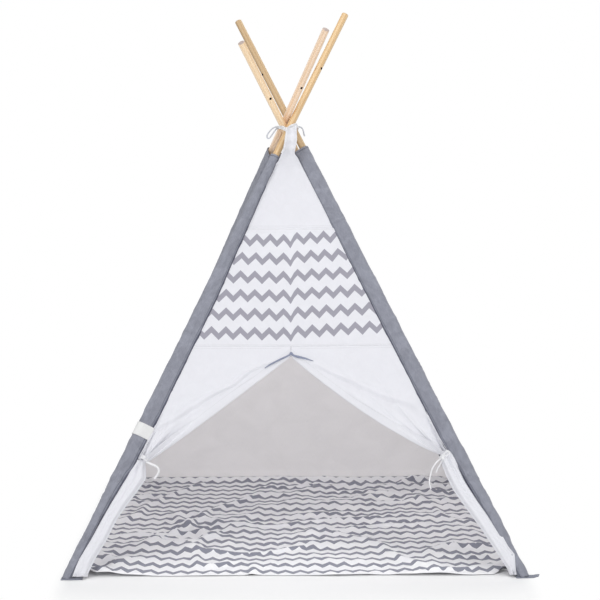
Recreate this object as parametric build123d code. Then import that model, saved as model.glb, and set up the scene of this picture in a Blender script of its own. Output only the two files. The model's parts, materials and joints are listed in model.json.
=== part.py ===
from build123d import *
import math
import os

# A four-pole play tepee: three-piece wooden poles in cloth sleeves, four cloth walls, a
# tied-back door in the front wall and a separate floor mat. Millimetres, +Z up. The
# origin is on the floor, midway between the four feet, and the door faces -Y.

# ---------------------------------------------------------------- driving dimensions

# The stand.
BASE_WIDTH = 1200.0
BASE_DEPTH = 1200.0
BACK_LEFT_INSET = 32.0
BACK_RIGHT_INSET = 18.0
CROSSING_HEIGHT = 1203.0
CROSSING_FORWARD = 100.0
CROSSING_LEFT = 18.0

# The poles.
POLE_DIAMETER = 20.0
SECTION_LENGTH = 597.0
SECTION_GAP = 0.3
TIP_ROUNDING = 2.0
HOLE_DIAMETER = 6.0
HOLE_FROM_TIP = 190.0

# Where each pole passes the middle of the crossing, to the right and to the back, in pole
# diameters, so that all four pass close by one another.
FRONT_LEFT_PASS = (0.86, -0.62)
FRONT_RIGHT_PASS = (0.36, 1.105)
BACK_LEFT_PASS = (-0.25, 0.28)
BACK_RIGHT_PASS = (-0.90, -0.92)

# The ferrules that join the sections.
FERRULE_LENGTH = 90.0
FERRULE_WALL = 1.4
FERRULE_FIT = 0.08

# The cloth sleeves on the poles.
SLEEVE_CLOTH = 1.2
SLEEVE_ROOM = 0.3
SLEEVE_WING = 29.0
FRONT_LEFT_SLEEVE_DROP = 101.0
FRONT_RIGHT_SLEEVE_DROP = 80.0
BACK_LEFT_SLEEVE_DROP = 84.0
BACK_RIGHT_SLEEVE_DROP = 125.0
WING_EDGE_RADIUS = 1.6

# The foot straps.
STRAP_WIDTH = 25.0
STRAP_THICKNESS = 2.0
STRAP_LENGTH = 70.0
STRAP_REACH = 45.0
STRAP_STANDOFF = 5.0
FOLDED_STRAP_REACH = 14.0

# The cloth walls.
WALL_CLOTH = 1.2
SEAM_GAP = 0.4
HEM_HEIGHT = 3.0
WALL_BELOW_CROSSING = 113.0

# The front wall's seams and its door.
BAND_TOP = 900.0
BAND_BOTTOM = 583.0
DOOR_TOP = 559.0
GATHER_HEIGHT = 296.0
GATHER_INSET = 14.0
GATHER_WIDTH = 12.0
GATHER_REACH = 70.0
LOWER_FLAP_STAGES = ((220.0, 37.0), (117.0, 20.0), (3.0, 16.0))
STRIP_BELOW_CROSSING = 18.0
STRIP_TOP_WIDTH = 26.0
STRIP_FORWARD = 26.0
STRIP_MIDDLE_WIDTH = 30.0
STRIP_MIDDLE_RISE = 30.0
STRIP_MIDDLE_BULGE = 16.0

# The binding at the top of the door.
BINDING_WIDTH = 6.0
BINDING_THICKNESS = 1.5
BINDING_STANDOFF = 2.5
BINDING_LEFT_ARM = 78.0
BINDING_RIGHT_ARM = 56.0

# The tie-backs and cords.
TIEBACK_BORE = 8.0
TIEBACK_WALL = 3.5
TIEBACK_HEIGHT = 12.0
LASHING_BELOW_CROSSING = 19.0
LASHING_HEIGHT = 10.0
LASHING_CORD = 4.5
LASHING_ROOM = 4.0
APEX_CORD = 4.0
DOOR_CORD = 4.0
DOOR_TAPE = 6.0

# The blank label on the left sleeve.
LABEL_CENTRE = 434.0
LABEL_WIDTH = 42.0
LABEL_CLOTH = 0.8
LABEL_INSET = 3.0

# The floor mat.
MAT_INSET = 15.0
MAT_THICKNESS = 3.0
MAT_CORNER_CUT = 60.0
MAT_TIE_KNOT = 11.0
MAT_TIE_INSET = 27.0
MAT_TIE_LIFT = 2.0
MAT_TIE_TAPE = 5.0
MAT_TIE_OVERLAP = 12.0

# ---------------------------------------------------------------- places worked out once

POLE_RADIUS = POLE_DIAMETER / 2
FERRULE_BORE_RADIUS = POLE_RADIUS + FERRULE_FIT
FERRULE_RADIUS = FERRULE_BORE_RADIUS + FERRULE_WALL
SLEEVE_INNER_RADIUS = FERRULE_RADIUS + SLEEVE_ROOM
SLEEVE_RADIUS = SLEEVE_INNER_RADIUS + SLEEVE_CLOTH
SEAM_OFFSET = SLEEVE_WING + WING_EDGE_RADIUS + SEAM_GAP
CROSSING = Vector(-CROSSING_LEFT, -CROSSING_FORWARD, CROSSING_HEIGHT)
UP = Vector(0, 0, 1)
WALL_TOP = CROSSING_HEIGHT - WALL_BELOW_CROSSING
STRIP_TOP = CROSSING_HEIGHT - STRIP_BELOW_CROSSING


class Corner:
    """One pole: its foot, its place in the crossing and the axis between them."""

    def __init__(self, name, side, depth, inset, step, sleeve_drop, hole_turn, strap_reach):
        """side is -1 on the left, depth is -1 at the front, angles are in degrees."""
        self.name = name
        self.side = side
        self.depth = depth
        self.inset = inset
        self.foot = Vector(side * (BASE_WIDTH / 2 - inset), depth * BASE_DEPTH / 2, 0)
        self.crossing = CROSSING + Vector(step[0], step[1], 0) * POLE_DIAMETER
        self.axis = (self.crossing - self.foot).normalized()
        self.sleeve_length = (CROSSING_HEIGHT - sleeve_drop) / self.axis.Z
        self.hole_turn = hole_turn
        self.strap_reach = strap_reach
        tilt = self.axis.get_angle(UP)
        rim_drop = POLE_RADIUS * math.sin(math.radians(tilt))
        self.start = (STRAP_THICKNESS + SECTION_GAP + rim_drop) / self.axis.Z

    def plane(self, along):
        """The plane square to the pole at a distance along it, its X facing forwards."""
        forwards = Vector(0, -1, 0)
        across = forwards - self.axis * forwards.dot(self.axis)
        return Plane(self.foot + self.axis * along, x_dir=across, z_dir=self.axis)

    def section_start(self, index):
        """How far along the pole its lower, middle or tip section begins."""
        return self.start + index * (SECTION_LENGTH + SECTION_GAP)

    def towards(self, other):
        """The direction in the shared wall, square to this pole, towards the other one."""
        level = (other.foot - self.foot).normalized()
        return (level - self.axis * level.dot(self.axis)).normalized()

    def seam_point(self, other, height, inset=0.0):
        """A point of the wall's seam beside this pole, at a height over the floor."""
        level = self.towards(other) * (SEAM_OFFSET + inset)
        along = (height - level.Z) / self.axis.Z
        return self.foot + self.axis * along + level


CORNER_LIST = (
    Corner(
        "front_left", -1, -1, 0.0, FRONT_LEFT_PASS, FRONT_LEFT_SLEEVE_DROP, 50, FOLDED_STRAP_REACH
    ),
    Corner(
        "front_right", 1, -1, 0.0, FRONT_RIGHT_PASS, FRONT_RIGHT_SLEEVE_DROP, -55, STRAP_REACH
    ),
    Corner(
        "back_left", -1, 1, BACK_LEFT_INSET, BACK_LEFT_PASS, BACK_LEFT_SLEEVE_DROP, 30, STRAP_REACH
    ),
    Corner(
        "back_right", 1, 1, BACK_RIGHT_INSET, BACK_RIGHT_PASS, BACK_RIGHT_SLEEVE_DROP, 15, STRAP_REACH
    ),
)
CORNERS = {corner.name: corner for corner in CORNER_LIST}
NEIGHBOURS = {
    "front_left": ("front_right", "back_left"),
    "front_right": ("front_left", "back_right"),
    "back_left": ("back_right", "front_left"),
    "back_right": ("back_left", "front_right"),
}

os.makedirs("parts", exist_ok=True)


def save(shape, node):
    """Writes one node."""
    export_step(shape, f"parts/{node}.step")


# ---------------------------------------------------------------- poles and ferrules


def pole_section(corner, index):
    """One wooden section: 0 is the lower one, 1 the middle one and 2 the tip."""
    start = corner.section_start(index)
    rod = extrude(corner.plane(start) * Circle(POLE_RADIUS), SECTION_LENGTH)
    if index < 2:
        return rod
    tip = rod.faces().sort_by(Axis(corner.foot, corner.axis))[-1]
    rod = fillet(tip.edges(), TIP_ROUNDING)
    hole_plane = corner.plane(start + SECTION_LENGTH - HOLE_FROM_TIP)
    bore = Rot(0, 0, corner.hole_turn) * Rot(0, 90, 0) * Cylinder(
        HOLE_DIAMETER / 2, 2 * POLE_DIAMETER
    )
    return rod - hole_plane * bore


def ferrule(corner, index):
    """The tube over the joint above section 0 or 1."""
    joint = corner.section_start(index + 1) - SECTION_GAP / 2
    ring = Circle(FERRULE_RADIUS) - Circle(FERRULE_BORE_RADIUS)
    return extrude(corner.plane(joint - FERRULE_LENGTH / 2) * ring, FERRULE_LENGTH)


# ---------------------------------------------------------------- sleeves and straps


def sleeve_outline(corner, radius, edge_radius, wing):
    """The sleeve's section: round over the pole, with a wing along each wall."""
    plane = corner.plane(0)
    outline = Sketch() + Circle(radius)
    for name in NEIGHBOURS[corner.name]:
        level = corner.towards(CORNERS[name]) * wing
        spot = Vector(level.dot(plane.x_dir), level.dot(plane.y_dir))
        outline += Pos(spot.X, spot.Y) * Circle(edge_radius)
    return make_hull(outline.edges())


def above(shape, height):
    """The shape without what lies below a height."""
    reach = 4 * max(BASE_WIDTH, BASE_DEPTH, CROSSING_HEIGHT)
    below = Pos(0, 0, height - reach / 2) * Box(reach, reach, reach)
    return shape - below


def sleeve(corner):
    """The cloth tube on a pole, from its foot strap to just under the crossing."""
    run_out = 3 * SLEEVE_WING
    outer = sleeve_outline(corner, SLEEVE_RADIUS, WING_EDGE_RADIUS, SLEEVE_WING)
    inner_edge = WING_EDGE_RADIUS - SLEEVE_CLOTH
    inner = sleeve_outline(corner, SLEEVE_INNER_RADIUS, inner_edge, SLEEVE_WING)
    section = corner.plane(-run_out) * (outer - inner)
    tube = extrude(section, corner.sleeve_length + run_out)
    return above(tube, STRAP_THICKNESS)


def label():
    """The blank label round the outer side of the front left sleeve."""
    corner = CORNERS["front_left"]
    plane = corner.plane(LABEL_CENTRE - LABEL_WIDTH / 2)
    edge = WING_EDGE_RADIUS + LABEL_CLOTH
    wing = SLEEVE_WING - LABEL_INSET
    band = sleeve_outline(corner, SLEEVE_RADIUS + LABEL_CLOTH, edge, wing)
    inside = sleeve_outline(corner, SLEEVE_RADIUS, WING_EDGE_RADIUS, SLEEVE_WING)
    return extrude(plane * band, LABEL_WIDTH) - extrude(plane * inside, LABEL_WIDTH)


def foot_strap(corner):
    """The strap under a pole's foot; it lies on the floor and takes the mat's tie."""
    length = STRAP_LENGTH + corner.inset
    outside = corner.side * (BASE_WIDTH / 2 + corner.strap_reach)
    middle_x = outside - corner.side * length / 2
    middle_y = corner.foot.Y + corner.depth * STRAP_STANDOFF
    strap = Box(length, STRAP_WIDTH, STRAP_THICKNESS)
    strap = fillet(strap.edges().filter_by(Axis.Z), STRAP_WIDTH / 6)
    return Pos(middle_x, middle_y, STRAP_THICKNESS / 2) * strap


# ---------------------------------------------------------------- walls


def slab(points, thickness):
    """A flat cloth solid on the plane of its first, second and last points."""
    across = points[1] - points[0]
    normal = across.cross(points[-1] - points[0]).normalized()
    plane = Plane(points[0], x_dir=across, z_dir=normal)
    flat = [plane.to_local_coords(point) for point in points]
    outline = Polyline(*[(spot.X, spot.Y) for spot in flat], close=True)
    return extrude(plane * make_face(outline), thickness / 2, both=True)


def ruled_panel(rows, thickness):
    """A cloth solid through rows of two points, lowest row first."""
    normal = (rows[0][1] - rows[0][0]).cross(rows[-1][0] - rows[0][0]).normalized()
    half = normal * (thickness / 2)
    wires = []
    for left, right in rows:
        wires.append(Wire.make_polygon([left - half, right - half, right + half, left + half]))
    return Solid.make_loft(wires, ruled=True)


def wall_row(left, right, height):
    """The two seam points of a wall at a height."""
    return left.seam_point(right, height), right.seam_point(left, height)


def plain_wall(left, right):
    """A whole wall between two poles, from its hem to the top of the sleeves."""
    rows = [wall_row(left, right, HEM_HEIGHT), wall_row(left, right, WALL_TOP)]
    return ruled_panel(rows, WALL_CLOTH)


FRONT_LEFT = CORNERS["front_left"]
FRONT_RIGHT = CORNERS["front_right"]
BACK_LEFT = CORNERS["back_left"]
BACK_RIGHT = CORNERS["back_right"]
FRONT_NORMAL = (
    (FRONT_RIGHT.foot - FRONT_LEFT.foot).cross(CROSSING - FRONT_LEFT.foot).normalized()
)


def front_point(share, height):
    """A point of the front wall: share 0 is the left seam, 1 the right one."""
    left, right = wall_row(FRONT_LEFT, FRONT_RIGHT, height)
    return left + (right - left) * share


def front_gusset():
    """The wall above the band, drawn in to a strip in front of the crossing."""
    top_left, top_right = wall_row(FRONT_LEFT, FRONT_RIGHT, WALL_TOP)
    middle = (top_left + top_right) / 2
    crossing = FRONT_LEFT.crossing + FRONT_NORMAL * (SLEEVE_RADIUS + STRIP_FORWARD)
    rows = [wall_row(FRONT_LEFT, FRONT_RIGHT, BAND_TOP + SEAM_GAP), (top_left, top_right)]
    bend_height = WALL_TOP + STRIP_MIDDLE_RISE
    stages = (
        (bend_height, STRIP_MIDDLE_WIDTH, STRIP_MIDDLE_BULGE),
        (STRIP_TOP, STRIP_TOP_WIDTH, 0.0),
    )
    for height, width, bulge in stages:
        share = (height - WALL_TOP) / (STRIP_TOP - WALL_TOP)
        centre = middle + (crossing - middle) * share + FRONT_NORMAL * bulge
        half = Vector(width / 2, 0, 0)
        level = Vector(centre.X, centre.Y, height)
        rows.append((level - half, level + half))
    return ruled_panel(rows, WALL_CLOTH)


def front_band():
    """The patterned band across the front wall."""
    rows = [
        wall_row(FRONT_LEFT, FRONT_RIGHT, BAND_BOTTOM),
        wall_row(FRONT_LEFT, FRONT_RIGHT, BAND_TOP),
    ]
    return ruled_panel(rows, WALL_CLOTH)


def gather_point(corner, other):
    """Where a door flap is tied back, beside a front pole."""
    return corner.seam_point(other, GATHER_HEIGHT, GATHER_INSET)


def gathered_edge(corner, other, way):
    """The two ends of the gathered cloth above the tie-back, or below it with way -1."""
    clear = corner.axis * (way * (TIEBACK_HEIGHT / 2 + SEAM_GAP))
    half = corner.towards(other) * (GATHER_WIDTH / 2)
    tie = gather_point(corner, other) + clear
    return tie + half, tie - half


def door_flap(corner, other):
    """The upper part of a door flap, from the band down to its tie-back."""
    top = BAND_BOTTOM - SEAM_GAP
    share = 0.0 if corner is FRONT_LEFT else 1.0
    inner, outer = gathered_edge(corner, other, 1)
    away = corner.towards(other) * (SEAM_GAP / 2)
    points = [
        front_point(share, top),
        front_point(0.5, top) - away,
        front_point(0.5, DOOR_TOP) - away,
        inner,
        outer,
        corner.seam_point(other, GATHER_HEIGHT + GATHER_REACH),
    ]
    return slab(points, WALL_CLOTH)


def lower_flap(corner, other):
    """The loose part of a door flap, from its tie-back down to the floor."""
    inner, outer = gathered_edge(corner, other, -1)
    points = [corner.seam_point(other, GATHER_HEIGHT - GATHER_REACH), outer, inner]
    for height, width in LOWER_FLAP_STAGES:
        points.append(corner.seam_point(other, height, width))
    points.append(corner.seam_point(other, HEM_HEIGHT))
    return slab(points, WALL_CLOTH)


def tieback(corner, other):
    """The band round the gathered cloth of a door flap."""
    middle = gather_point(corner, other)
    plane = Plane(middle - corner.axis * (TIEBACK_HEIGHT / 2), z_dir=corner.axis)
    ring = Circle(TIEBACK_BORE + TIEBACK_WALL) - Circle(TIEBACK_BORE)
    return extrude(plane * ring, TIEBACK_HEIGHT)


def door_binding():
    """The grey binding folded over the top of the door."""
    lift = FRONT_NORMAL * (WALL_CLOTH / 2 + BINDING_THICKNESS / 2 + BINDING_STANDOFF)
    top = front_point(0.5, DOOR_TOP) + lift
    left = (gather_point(FRONT_LEFT, FRONT_RIGHT) + lift - top).normalized()
    right = (gather_point(FRONT_RIGHT, FRONT_LEFT) + lift - top).normalized()
    points = [
        top + left * BINDING_LEFT_ARM,
        top,
        top + right * BINDING_RIGHT_ARM,
        front_point(0.5, DOOR_TOP + BINDING_WIDTH) + lift,
    ]
    return slab(points, BINDING_THICKNESS)


# ---------------------------------------------------------------- crossing and cords


def lashing():
    """The turns of cord just under the crossing, wide enough for the poles to close up inside."""
    base = CROSSING_HEIGHT - LASHING_BELOW_CROSSING - LASHING_HEIGHT / 2
    bore = Sketch()
    rim = Sketch()
    for corner in CORNERS.values():
        for height in (base, CROSSING_HEIGHT):
            spot = corner.foot + corner.axis * (height / corner.axis.Z)
            bore += Pos(spot.X, spot.Y) * Circle(POLE_RADIUS + LASHING_ROOM)
            rim += Pos(spot.X, spot.Y) * Circle(POLE_RADIUS + LASHING_ROOM + LASHING_CORD)
    ring = make_hull(rim.edges()) - make_hull(bore.edges())
    return extrude(Pos(0, 0, base) * ring, LASHING_HEIGHT)


def cord(node, route, diameter):
    """A cord through hand-chosen points, its straight runs joined by wide arcs."""
    points = [Vector(*point) for point in route]
    radii = []
    for before, here, after in zip(points, points[1:], points[2:]):
        turn = (here - before).get_angle(after - here)
        shorter = min((here - before).length, (after - here).length)
        radii.append(0.45 * shorter / math.tan(math.radians(turn / 2)))
    path = FilletPolyline(*points, radius=radii)
    start = Plane(origin=path @ 0, z_dir=path % 0)
    tube = sweep(start * Circle(diameter / 2), path=path)
    section = math.pi * diameter**2 / 4
    print(node, "arc radii", [round(radius, 1) for radius in radii])
    print(node, "length", round(path.length, 1), "volume", round(tube.volume / section, 1))
    return tube


def moved(origin, steps):
    """The points at steps from an origin."""
    return [(origin.X + x, origin.Y + y, origin.Z + z) for x, y, z in steps]


APEX_BOW_STEPS = [
    (-28.7, -8.5, -17.0),
    (-37.7, -13.5, -19.0),
    (-48.7, -19.0, -29.0),
    (-57.7, -23.0, -43.0),
    (-56.7, -25.0, -50.0),
    (-50.2, -24.5, -51.0),
    (-43.7, -23.0, -42.0),
    (-37.7, -19.0, -33.0),
    (-31.7, -12.5, -25.0),
    (-28.2, -8.0, -21.5),
]
APEX_TAIL_STEPS = [
    (35.2, 4.0, -17.0),
    (42.2, 1.0, -19.0),
    (47.2, -1.0, -26.5),
    (48.7, -2.5, -36.0),
    (51.2, -3.0, -44.5),
]
LEFT_TAPE_STEPS = [
    (5.0, -8.5, -8.0),
    (17.0, -15.0, -13.0),
    (31.0, -17.0, -17.5),
    (40.0, -17.0, -28.0),
    (35.5, -16.5, -42.0),
    (26.0, -15.5, -53.0),
]
RIGHT_BOW_STEPS = [
    (2.0, -9.5, 4.0),
    (7.5, -14.5, 6.0),
    (14.0, -16.0, 10.0),
    (15.0, -16.0, 16.5),
    (10.0, -15.5, 20.0),
    (5.0, -14.5, 16.0),
    (1.0, -10.0, 10.0),
]
RIGHT_LONG_TAIL_STEPS = [
    (-5.0, -9.0, -2.0),
    (-19.0, -16.0, -10.0),
    (-32.0, -18.0, -30.0),
    (-35.5, -18.0, -49.0),
    (-40.0, -17.5, -68.0),
    (-33.5, -18.0, -85.0),
]
RIGHT_SHORT_TAIL_STEPS = [
    (-2.5, -8.5, -8.0),
    (-9.0, -12.5, -19.0),
    (-16.5, -14.0, -30.0),
    (-20.0, -14.5, -41.0),
]


# ---------------------------------------------------------------- mat


def floor_mat():
    """The mat, inside the four feet and with its corners cut back from them."""
    spots = []
    for corner in (FRONT_LEFT, FRONT_RIGHT, BACK_RIGHT, BACK_LEFT):
        spots.append(corner.foot - Vector(corner.side, corner.depth, 0) * MAT_INSET)
    outline = []
    for before, here, after in zip(spots[-1:] + spots[:-1], spots, spots[1:] + spots[:1]):
        outline.append(here + (before - here).normalized() * MAT_CORNER_CUT)
        outline.append(here + (after - here).normalized() * MAT_CORNER_CUT)
    return extrude(make_face(Polyline(*outline, close=True)), MAT_THICKNESS)


def mat_tie(corner):
    """The knotted tape that holds a corner of the mat to its foot."""
    inwards = Vector(-corner.side, -corner.depth, 0).normalized()
    level = MAT_TIE_LIFT + MAT_TIE_KNOT / 2
    knot_spot = corner.foot + inwards * (MAT_TIE_INSET * math.sqrt(2))
    knot = Pos(knot_spot.X, knot_spot.Y, level) * Sphere(MAT_TIE_KNOT / 2)
    cut_edge = 2 * MAT_INSET + MAT_CORNER_CUT
    reach = cut_edge / math.sqrt(2) - MAT_TIE_INSET * math.sqrt(2) + MAT_TIE_OVERLAP
    tape = Box(reach, MAT_TIE_TAPE, WALL_CLOTH)
    turn = math.degrees(math.atan2(inwards.Y, inwards.X))
    middle = knot_spot + inwards * (reach / 2)
    height = MAT_THICKNESS + SEAM_GAP + WALL_CLOTH / 2
    return knot + Pos(middle.X, middle.Y, height) * Rot(0, 0, turn) * tape


# ---------------------------------------------------------------- all nodes

for name, corner in CORNERS.items():
    for index, section_name in enumerate(("lower", "middle", "tip")):
        save(pole_section(corner, index), f"{section_name}_pole_{name}")
    for index, ferrule_name in enumerate(("lower", "upper")):
        save(ferrule(corner, index), f"{ferrule_name}_ferrule_{name}")
    save(sleeve(corner), f"sleeve_{name}")
    save(foot_strap(corner), f"foot_strap_{name}")
    save(mat_tie(corner), f"mat_tie_{name}")
save(label(), "blank_label")

save(front_gusset(), "front_gusset")
save(front_band(), "front_band")
save(door_binding(), "door_binding")
for side, corner, other in (
    ("left", FRONT_LEFT, FRONT_RIGHT),
    ("right", FRONT_RIGHT, FRONT_LEFT),
):
    save(door_flap(corner, other), f"{side}_door_flap")
    save(lower_flap(corner, other), f"{side}_lower_flap")
    save(tieback(corner, other), f"{side}_tieback")
save(plain_wall(BACK_RIGHT, BACK_LEFT), "back_wall")
save(plain_wall(BACK_LEFT, FRONT_LEFT), "left_wall")
save(plain_wall(FRONT_RIGHT, BACK_RIGHT), "right_wall")

save(lashing(), "apex_lashing")
LEFT_GATHER = gather_point(FRONT_LEFT, FRONT_RIGHT)
RIGHT_GATHER = gather_point(FRONT_RIGHT, FRONT_LEFT)
for node, origin, steps, diameter in (
    ("apex_bow", CROSSING, APEX_BOW_STEPS, APEX_CORD),
    ("apex_tail", CROSSING, APEX_TAIL_STEPS, APEX_CORD),
    ("left_door_tape", LEFT_GATHER, LEFT_TAPE_STEPS, DOOR_TAPE),
    ("right_door_bow", RIGHT_GATHER, RIGHT_BOW_STEPS, DOOR_CORD),
    ("right_door_tail_long", RIGHT_GATHER, RIGHT_LONG_TAIL_STEPS, DOOR_CORD),
    ("right_door_tail_short", RIGHT_GATHER, RIGHT_SHORT_TAIL_STEPS, DOOR_CORD),
):
    save(cord(node, moved(origin, steps), diameter), node)

save(floor_mat(), "floor_mat")
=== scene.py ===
"""Child's teepee tent: the look of the real thing over its measured frame.

The poles and ferrules are the frame's own pieces. Sleeves, walls, door flaps, mat,
ties and cords are modelled here as cloth and cord, in the same metres and axes.
"""

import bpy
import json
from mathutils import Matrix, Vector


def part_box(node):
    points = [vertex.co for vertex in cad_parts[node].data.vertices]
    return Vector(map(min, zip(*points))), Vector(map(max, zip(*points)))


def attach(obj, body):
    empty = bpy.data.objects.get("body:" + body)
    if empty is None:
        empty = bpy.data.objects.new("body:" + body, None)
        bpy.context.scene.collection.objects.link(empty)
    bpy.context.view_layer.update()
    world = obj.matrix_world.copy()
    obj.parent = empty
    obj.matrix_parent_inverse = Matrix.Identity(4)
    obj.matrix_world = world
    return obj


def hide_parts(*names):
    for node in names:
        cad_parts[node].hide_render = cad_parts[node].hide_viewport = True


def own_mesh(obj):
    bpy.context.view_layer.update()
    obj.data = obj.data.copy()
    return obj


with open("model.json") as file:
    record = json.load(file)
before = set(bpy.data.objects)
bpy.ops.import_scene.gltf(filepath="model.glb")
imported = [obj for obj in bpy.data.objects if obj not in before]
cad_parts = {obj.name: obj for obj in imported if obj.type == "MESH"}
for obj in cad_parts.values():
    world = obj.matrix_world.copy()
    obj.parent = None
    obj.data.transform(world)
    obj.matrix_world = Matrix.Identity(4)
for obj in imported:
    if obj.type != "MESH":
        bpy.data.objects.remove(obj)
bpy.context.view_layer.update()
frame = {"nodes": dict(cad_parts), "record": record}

import json
import logging
import math
from dataclasses import dataclass
from enum import Enum
from typing import Sequence

import bpy
import numpy as np
from mathutils import Vector

logging.basicConfig(level=logging.INFO, format="%(message)s")
LOG = logging.getLogger("teepee")

Array = np.ndarray
Colour = tuple[float, float, float, float]
Triple = tuple[float, float, float]
Profile = Sequence[tuple[float, float]]
Piece = bpy.types.Object
Material = bpy.types.Material

MM = 0.001
TINY = 1e-9
FULL_TURN = 2 * math.pi
SLEEVE_WING = 29.0 * MM
WING_EDGE = 1.6 * MM
SLEEVE_RADIUS = 12.75 * MM
SLEEVE_TOPS = {"front_left": 1.102, "front_right": 1.123, "back_left": 1.119, "back_right": 1.078}
NARROWING = [(0.720, SLEEVE_WING), (0.907, 0.0180), (1.040, 0.0115), (1.120, 0.0110)]
WALL_TOP = 1.090
BAND_TOP = 0.900
BAND_BOTTOM = 0.583
HEM_HEIGHT = 0.003
SEAM_TUCK = -0.003
CLOTH_THICKNESS = 0.0011
DOOR_CENTRE = -0.0095
DOOR_TOP = 0.559
WALL_SLOPE = 1 / math.cos(math.radians(23.05))
HOLE_FROM_TIP = 0.190


# ---------------------------------------------------------------- shaping helpers


class Relief:
    """Smooth repeatable noise for cloth, read from one fixed lattice."""

    CELLS = 256

    def __init__(self, seed: int) -> None:
        """Fills the lattice that a seed gives."""
        self.lattice = np.random.default_rng(seed).random((self.CELLS, self.CELLS)) * 2 - 1

    def value(self, x: Array, y: Array) -> Array:
        """Value noise.

        Args:
            x: first coordinate, one unit per lattice cell.
            y: second coordinate.

        Returns:
            The noise at each point, between -1 and 1.
        """
        xi, yi = np.floor(x).astype(int), np.floor(y).astype(int)
        fx, fy = x - xi, y - yi
        fx, fy = fx * fx * (3 - 2 * fx), fy * fy * (3 - 2 * fy)
        left, right = xi % self.CELLS, (xi + 1) % self.CELLS
        rows = []
        for row in (yi % self.CELLS, (yi + 1) % self.CELLS):
            rows.append(self.lattice[left, row] * (1 - fx) + self.lattice[right, row] * fx)
        return rows[0] * (1 - fy) + rows[1] * fy

    def fractal(self, x: Array, y: Array) -> Array:
        """Three octaves of value noise, each half the size of the last."""
        total, gain = 0.0, 0.5
        for octave in range(3):
            total = total + gain * self.value(x * 2**octave + 17 * octave, y * 2**octave)
            gain *= 0.5
        return total

    def creases(self, x: Array, y: Array, sharp: float) -> Array:
        """Thin raised creases between smooth fields, 0 to 1; sharp is their width."""
        return hump(self.value(x, y) + 0.4 * self.value(2 * x + 9, 2 * y + 5), sharp)


def hump(x: Array, width: float, power: float = 2) -> Array:
    """A bell of height 1 about 0, a width across."""
    return np.exp(-((x / width) ** power))


def smooth(low: float, high: float, value: Array) -> Array:
    """A smooth step from 0 at low to 1 at high."""
    t = np.clip((value - low) / (high - low), 0, 1)
    return t * t * (3 - 2 * t)


def through(points: Profile, at: Array) -> Array:
    """The second numbers of a profile, read at the first ones and held at its ends."""
    keys, values = zip(*points)
    return np.interp(at, keys, values)


def unit(rows: Array) -> Array:
    """Each row as a direction."""
    return rows / (np.linalg.norm(rows, axis=1, keepdims=True) + TINY)


def run_length(points: Array) -> Array:
    """The distance travelled at each point of a line."""
    return np.concatenate([[0], np.cumsum(np.linalg.norm(np.diff(points, axis=0), axis=1))])


def read_columns(at: Array, keys: Array, points: Array) -> Array:
    """Every column of some points, read at the places given."""
    return np.stack([np.interp(at, keys, column) for column in points.T], -1)


def evenly(points: Array, count: int) -> Array:
    """A line read at even steps of its length."""
    steps = run_length(points)
    return read_columns(np.linspace(0, steps[-1], count), steps, points)


def in_order(points: Array, count: int) -> Array:
    """A line read at even steps of its numbering."""
    return read_columns(np.linspace(0, len(points) - 1, count), np.arange(len(points)), points)


def grid(u_count: int, v_count: int) -> tuple[Array, Array]:
    """Two arrays of even steps from 0 to 1, rows by v and columns by u."""
    return tuple(np.meshgrid(np.linspace(0, 1, u_count), np.linspace(0, 1, v_count)))


# ---------------------------------------------------------------- frame of poles and walls


class Corner(Enum):
    """The four poles."""

    FRONT_LEFT = "front_left"
    FRONT_RIGHT = "front_right"
    BACK_LEFT = "back_left"
    BACK_RIGHT = "back_right"


@dataclass(frozen=True)
class Pole:
    """One pole's axis, read from the record's joints."""

    corner: Corner
    crossing: Vector
    axis: Vector

    @property
    def name(self) -> str:
        """The end of the pole's node names."""
        return self.corner.value

    @property
    def body(self) -> str:
        """The body of the lower pole section."""
        return f"{self.corner.value}_pole"

    @property
    def foot(self) -> Vector:
        """Where the axis meets the floor."""
        return self.at_height(0.0)

    def at_height(self, height: float) -> Vector:
        """The axis point at a height."""
        return self.crossing + self.axis * ((height - self.crossing.z) / self.axis.z)

    def along(self, distance: float) -> Vector:
        """The axis point at a distance up from the floor."""
        return self.foot + self.axis * distance

    def towards(self, other: "Pole") -> Vector:
        """The direction in the shared wall, square to this pole."""
        level = (other.foot - self.foot).normalized()
        return (level - self.axis * level.dot(self.axis)).normalized()

    def coordinate(self, which: int, height: Array) -> Array:
        """The axis's X (0) or Y (1) at heights."""
        run = self.axis[which] / self.axis.z
        return self.crossing[which] + (height - self.crossing.z) * run


def read_poles() -> dict[Corner, Pole]:
    """Builds the four poles from the record's fold and pull joints."""
    joints = {joint["name"]: joint for joint in frame["record"]["behaviour"]["joints"]}
    poles = {}
    for corner in Corner:
        fold = joints[f"fold_{corner.value}"]
        pull = joints[f"pull_middle_{corner.value}"]
        poles[corner] = Pole(corner, Vector(fold["pos_m"]), Vector(pull["axis"]))
    return poles


def read_holes() -> dict[Corner, tuple[Vector, Vector]]:
    """Reads where each tip is drilled, and which way, from the record's mounts."""
    mounts = {mount["name"]: mount for mount in frame["record"]["mounts"]}
    bores = {corner: mounts[f"tip_hole_{corner.value}"] for corner in Corner}
    return {corner: (Vector(bore["pos_m"]), Vector(bore["axis"])) for corner, bore in bores.items()}


POLES = read_poles()
HOLES = read_holes()
NEIGHBOURS = {
    Corner.FRONT_LEFT: (Corner.FRONT_RIGHT, Corner.BACK_LEFT),
    Corner.FRONT_RIGHT: (Corner.FRONT_LEFT, Corner.BACK_RIGHT),
    Corner.BACK_LEFT: (Corner.BACK_RIGHT, Corner.FRONT_LEFT),
    Corner.BACK_RIGHT: (Corner.BACK_LEFT, Corner.FRONT_RIGHT),
}


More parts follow.
